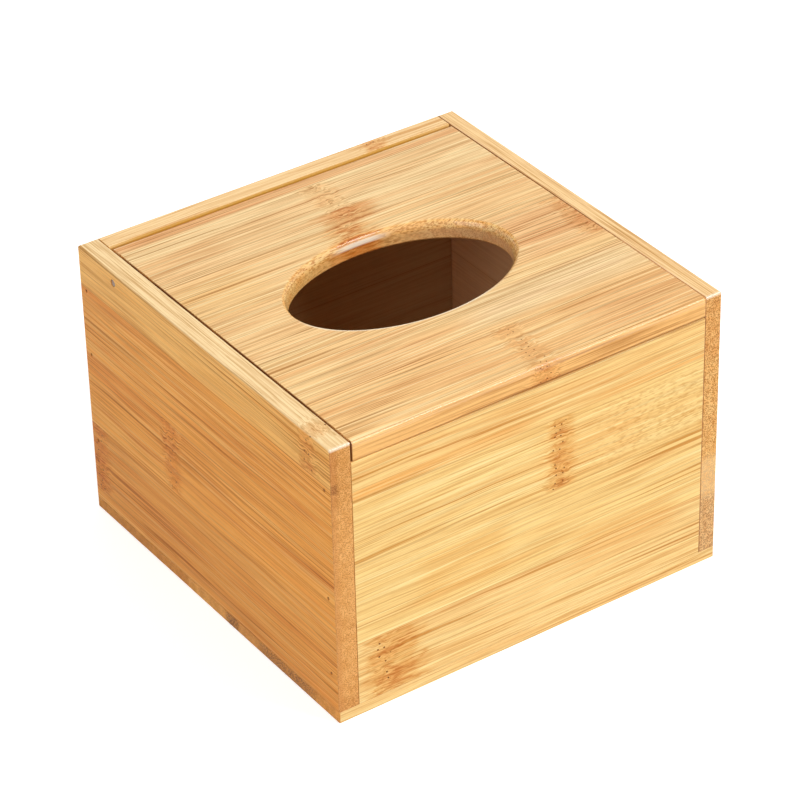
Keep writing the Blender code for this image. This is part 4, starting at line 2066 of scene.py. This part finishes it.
@dataclass
class LidLeaf:
    """The lid and its oval mouth."""

    steel: Steelwork
    mouth_length: float = 76.4 * MM
    mouth_width: float = 48.4 * MM
    mouth_setback: float = 65.5 * MM
    top_round: float = 1.8 * MM
    rim_drop: float = 1.5
    under_round: float = 1.0 * MM
    corner_ease: float = 0.5 * MM
    slit_ease: float = 0.2 * MM
    slit_fill: float = 0.62 * MM
    lip_round: float = 1.3 * MM
    mouth_segments: int = 160
    under_rings: int = 5
    top_rings: int = 9
    roundness: float = 0.65
    hand: float = 0.05 * MM
    hand_turns: float = 3.0
    hand_rise: float = 200.0
    end_steps: tuple[float, ...] = (0.35, 0.15, 0.4, 0.25, 0.75, 0.0)

    def make(self) -> bpy.types.Object:
        """Build the lid with its mouth.

        Returns:
            The finished object.
        """
        low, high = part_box("lid")
        low.x -= self.slit_fill
        eased = {
            (Face.TOP, Face.FRONT): self.lip_round,
            (Face.TOP, Face.REAR): self.corner_ease,
            (Face.TOP, Face.LEFT): self.slit_ease,
            (Face.TOP, Face.RIGHT): self.slit_ease,
            (Face.FRONT, Face.LEFT): self.slit_ease,
            (Face.FRONT, Face.RIGHT): self.slit_ease,
            (Face.REAR, Face.LEFT): self.corner_ease,
            (Face.REAR, Face.RIGHT): self.corner_ease,
            (Face.BOTTOM, Face.FRONT): self.corner_ease,
            (Face.BOTTOM, Face.REAR): self.corner_ease,
        }
        cutters = self.steel.holes("lid", self.steel.named("pin"))
        cutters.append(self.make_mouth(low, high))
        board = Board(
            "lid_board",
            ("lid",),
            "lid",
            "lid_bamboo",
            low,
            high,
            LID_FINISH,
            eased,
            wobble=0.08 * MM,
            step=0.28 * MM,
            steps=self.end_steps,
            jag=0.14 * MM,
            closing=0.20 * MM,
            grid=1.8 * MM,
            cutters=cutters,
        )
        return board.make()

    def rim(self, radius: float, steps: int) -> list[tuple[float, float]]:
        """Work out a rounded rim's rings, from just outside the face down to the wall.

        Args:
            radius: how far the rim is rounded.
            steps: how many rings the rounding has.

        Returns:
            The growth and the depth of each ring.
        """
        flatness = 1.0 - self.roundness
        rings = []
        for step in range(1, steps + 1):
            turn = math.pi / 2 * step / steps
            flat = step / steps
            growth = radius * (self.roundness * (1 - math.sin(turn)) + flatness * (1 - flat))
            depth = radius * (self.roundness * (1 - math.cos(turn)) + flatness * flat)
            rings.append((growth, depth))
        growth, depth = rings[0]
        return [(radius + (radius - growth), -depth), *rings]

    def make_mouth(self, low: Vector, high: Vector) -> bpy.types.Object:
        """Make the oval cutter, flared at both ends so that it rounds the mouth's rims.

        Args:
            low: the lid's lowest corner.
            high: its highest corner.

        Returns:
            The cutter.
        """
        under = [(growth, low.z + depth) for growth, depth in self.rim(self.under_round, self.under_rings)]
        top = self.rim(self.top_round, self.top_rings)
        over = [(growth, high.z - depth * self.rim_drop) for growth, depth in top]
        base_low, base_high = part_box("base_panel")
        centre = Vector(((base_low.x + base_high.x) / 2, low.y + self.mouth_setback, 0.0))
        bm = bmesh.new()
        loops = []
        for growth, height in under + over[::-1]:
            loop = []
            for index in range(self.mouth_segments):
                turn = math.tau * index / self.mouth_segments
                east = math.cos(turn) * self.hand_turns
                north = math.sin(turn) * self.hand_turns
                hand = self.hand * noise.noise(Vector((east, north, height * self.hand_rise)))
                reach_x = self.mouth_length / 2 + growth + hand
                reach_y = self.mouth_width / 2 + growth + hand
                spot = Vector((reach_x * math.cos(turn), reach_y * math.sin(turn), height))
                loop.append(bm.verts.new(centre + Matrix.Rotation(MOUTH_TURN, 3, "Z") @ spot))
            loops.append(loop)
        for lower, upper in zip(loops, loops[1:]):
            for index in range(self.mouth_segments):
                after = (index + 1) % self.mouth_segments
                bm.faces.new((lower[index], lower[after], upper[after], upper[index]))
        bm.faces.new(loops[0][::-1])
        bm.faces.new(loops[-1])
        bmesh.ops.recalc_face_normals(bm, faces=bm.faces)
        mesh = bpy.data.meshes.new("mouth_cutter")
        bm.to_mesh(mesh)
        bm.free()
        return link_piece("mouth_cutter", mesh)


@dataclass
class Lamp:
    """A soft square lamp."""

    name: str
    place: Vector
    size: float
    watts: float
    colour: Colour = (1.0, 1.0, 1.0)


@dataclass
class Studio:
    """The camera, the pale floor and the soft light."""

    azimuth: float = -34.009
    elevation: float = 33.688
    roll: float = -1.440
    camera_place: Vector = field(default_factory=lambda: Vector((-0.52075, -0.77278, 0.67061)))
    focal_pixels: float = 3646.0
    shift_pixels: float = 0.45
    frame_pixels: float = 800.0
    sensor: float = 36.0
    near_clip: float = 0.01
    far_clip: float = 50.0
    floor_half: float = 4.0
    floor_cells: int = 8
    floor_tone: float = 0.86
    floor_roughness: float = 0.9
    floor_glow: float = 0.58
    aim: Vector = field(default_factory=lambda: Vector((0.0, 0.0, 0.05)))
    lamps: tuple[Lamp, ...] = (
        Lamp("key", Vector((0.90, -1.05, 1.40)), 0.80, 25.4),
        Lamp("fill", Vector((-1.02, -0.50, 0.80)), 0.9, 6.1),
        Lamp("overhead", Vector((-0.1, 0.5, 1.3)), 1.0, 3.2),
    )
    ambient: float = 0.28

    def make(self) -> None:
        """Set up the whole studio."""
        self.set_camera()
        self.lay_floor()
        self.light_world()
        for lamp in self.lamps:
            self.hang(lamp)
        bpy.context.scene.view_settings.view_transform = "Standard"

    def set_camera(self) -> None:
        """Set the camera where the photograph was taken from."""
        turn = math.radians(self.azimuth)
        lift = math.radians(self.elevation)
        tilt = math.radians(self.roll)
        back = Vector((math.sin(turn) * math.cos(lift), -math.cos(turn) * math.cos(lift), math.sin(lift)))
        right = Vector((math.cos(turn), math.sin(turn), 0.0))
        up = back.cross(right)
        rolled_right = right * math.cos(tilt) + up * math.sin(tilt)
        rolled_up = up * math.cos(tilt) - right * math.sin(tilt)
        data = bpy.data.cameras.new("camera")
        data.sensor_width = self.sensor
        data.lens = self.focal_pixels * self.sensor / self.frame_pixels
        data.shift_x = -self.shift_pixels / self.frame_pixels
        data.clip_start = self.near_clip
        data.clip_end = self.far_clip
        camera = bpy.data.objects.new("camera", data)
        turned = Matrix((rolled_right, rolled_up, back)).transposed()
        camera.matrix_world = Matrix.Translation(self.camera_place) @ turned.to_4x4()
        bpy.context.scene.collection.objects.link(camera)
        bpy.context.scene.camera = camera

    def lay_floor(self) -> None:
        """Lay a wide pale floor that keeps the box's shadow."""
        bm = bmesh.new()
        bmesh.ops.create_grid(
            bm, x_segments=self.floor_cells, y_segments=self.floor_cells, size=self.floor_half
        )
        mesh = bpy.data.meshes.new("floor")
        bm.to_mesh(mesh)
        bm.free()
        floor = link_piece("floor", mesh)
        material = bpy.data.materials.new("floor_pale")
        material.use_nodes = True
        s = Sketch(material.node_tree)
        shader = material.node_tree.nodes["Principled BSDF"]
        s.supply(
            shader,
            Base_Color=(self.floor_tone, self.floor_tone, self.floor_tone),
            Roughness=self.floor_roughness,
            Specular_IOR_Level=0.0,
            Emission_Color=(1.0, 1.0, 1.0),
            Emission_Strength=s.times(self.seen(s), self.floor_glow),
        )
        mesh.materials.append(material)

    def seen(self, s: Sketch) -> Socket:
        """Tell apart the rays that come straight from the camera, a mirror or glass.

        Args:
            s: the sketch of the tree that asks.

        Returns:
            1 on those rays, and 0 on others.
        """
        path = s.node("ShaderNodeLightPath")
        either = s.most(path.outputs["Is Camera Ray"], path.outputs["Is Glossy Ray"])
        return s.most(either, path.outputs["Is Transmission Ray"])

    def light_world(self) -> None:
        """Light the scene evenly from all round, and show a white background."""
        world = bpy.data.worlds.new("studio")
        bpy.context.scene.world = world
        world.use_nodes = True
        s = Sketch(world.node_tree)
        background = world.node_tree.nodes["Background"]
        strength = s.scaled(self.seen(s), 1.0 - self.ambient, self.ambient)
        s.feed(background.inputs["Strength"], strength)
        background.inputs["Color"].default_value = (1.0, 1.0, 1.0, 1.0)

    def hang(self, lamp: Lamp) -> None:
        """Hang a lamp so that it shines at the box.

        Args:
            lamp: the lamp.
        """
        data = bpy.data.lights.new(lamp.name, "AREA")
        data.shape = "SQUARE"
        data.size = lamp.size
        data.energy = lamp.watts
        data.color = lamp.colour
        light = bpy.data.objects.new(lamp.name, data)
        light.location = lamp.place
        light.rotation_mode = "QUATERNION"
        light.rotation_quaternion = (self.aim - lamp.place).to_track_quat("-Z", "Y")
        bpy.context.scene.collection.objects.link(light)


def main() -> None:
    logging.basicConfig(level=logging.INFO, format="%(name)s: %(message)s")
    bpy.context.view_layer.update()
    Studio().make()
    steel = Steelwork(
        pin_shape=SteelShape(
            head_radius=1.2 * MM,
            head_height=3.0 * MM,
            chamfer=0.2 * MM,
            shank_radius=1.2 * MM,
            length=20.0 * MM,
            tip_length=0.2 * MM,
            tip_radius=1.0 * MM,
        ),
        brad_shape=SteelShape(
            head_radius=0.55 * MM,
            head_height=0.4 * MM,
            chamfer=0.12 * MM,
            shank_radius=0.50 * MM,
            length=18.0 * MM,
            tip_length=1.5 * MM,
            tip_radius=0.05 * MM,
        ),
        base_brad_length=15.0 * MM,
    )
    pieces = Carcass(steel).make()
    pieces.append(LidLeaf(steel).make())
    pieces.extend(steel.make(STEEL_FINISHES))
    LOG.info("%d pieces", len(pieces))
    bpy.context.view_layer.update()


if __name__ == "__main__":
    main()
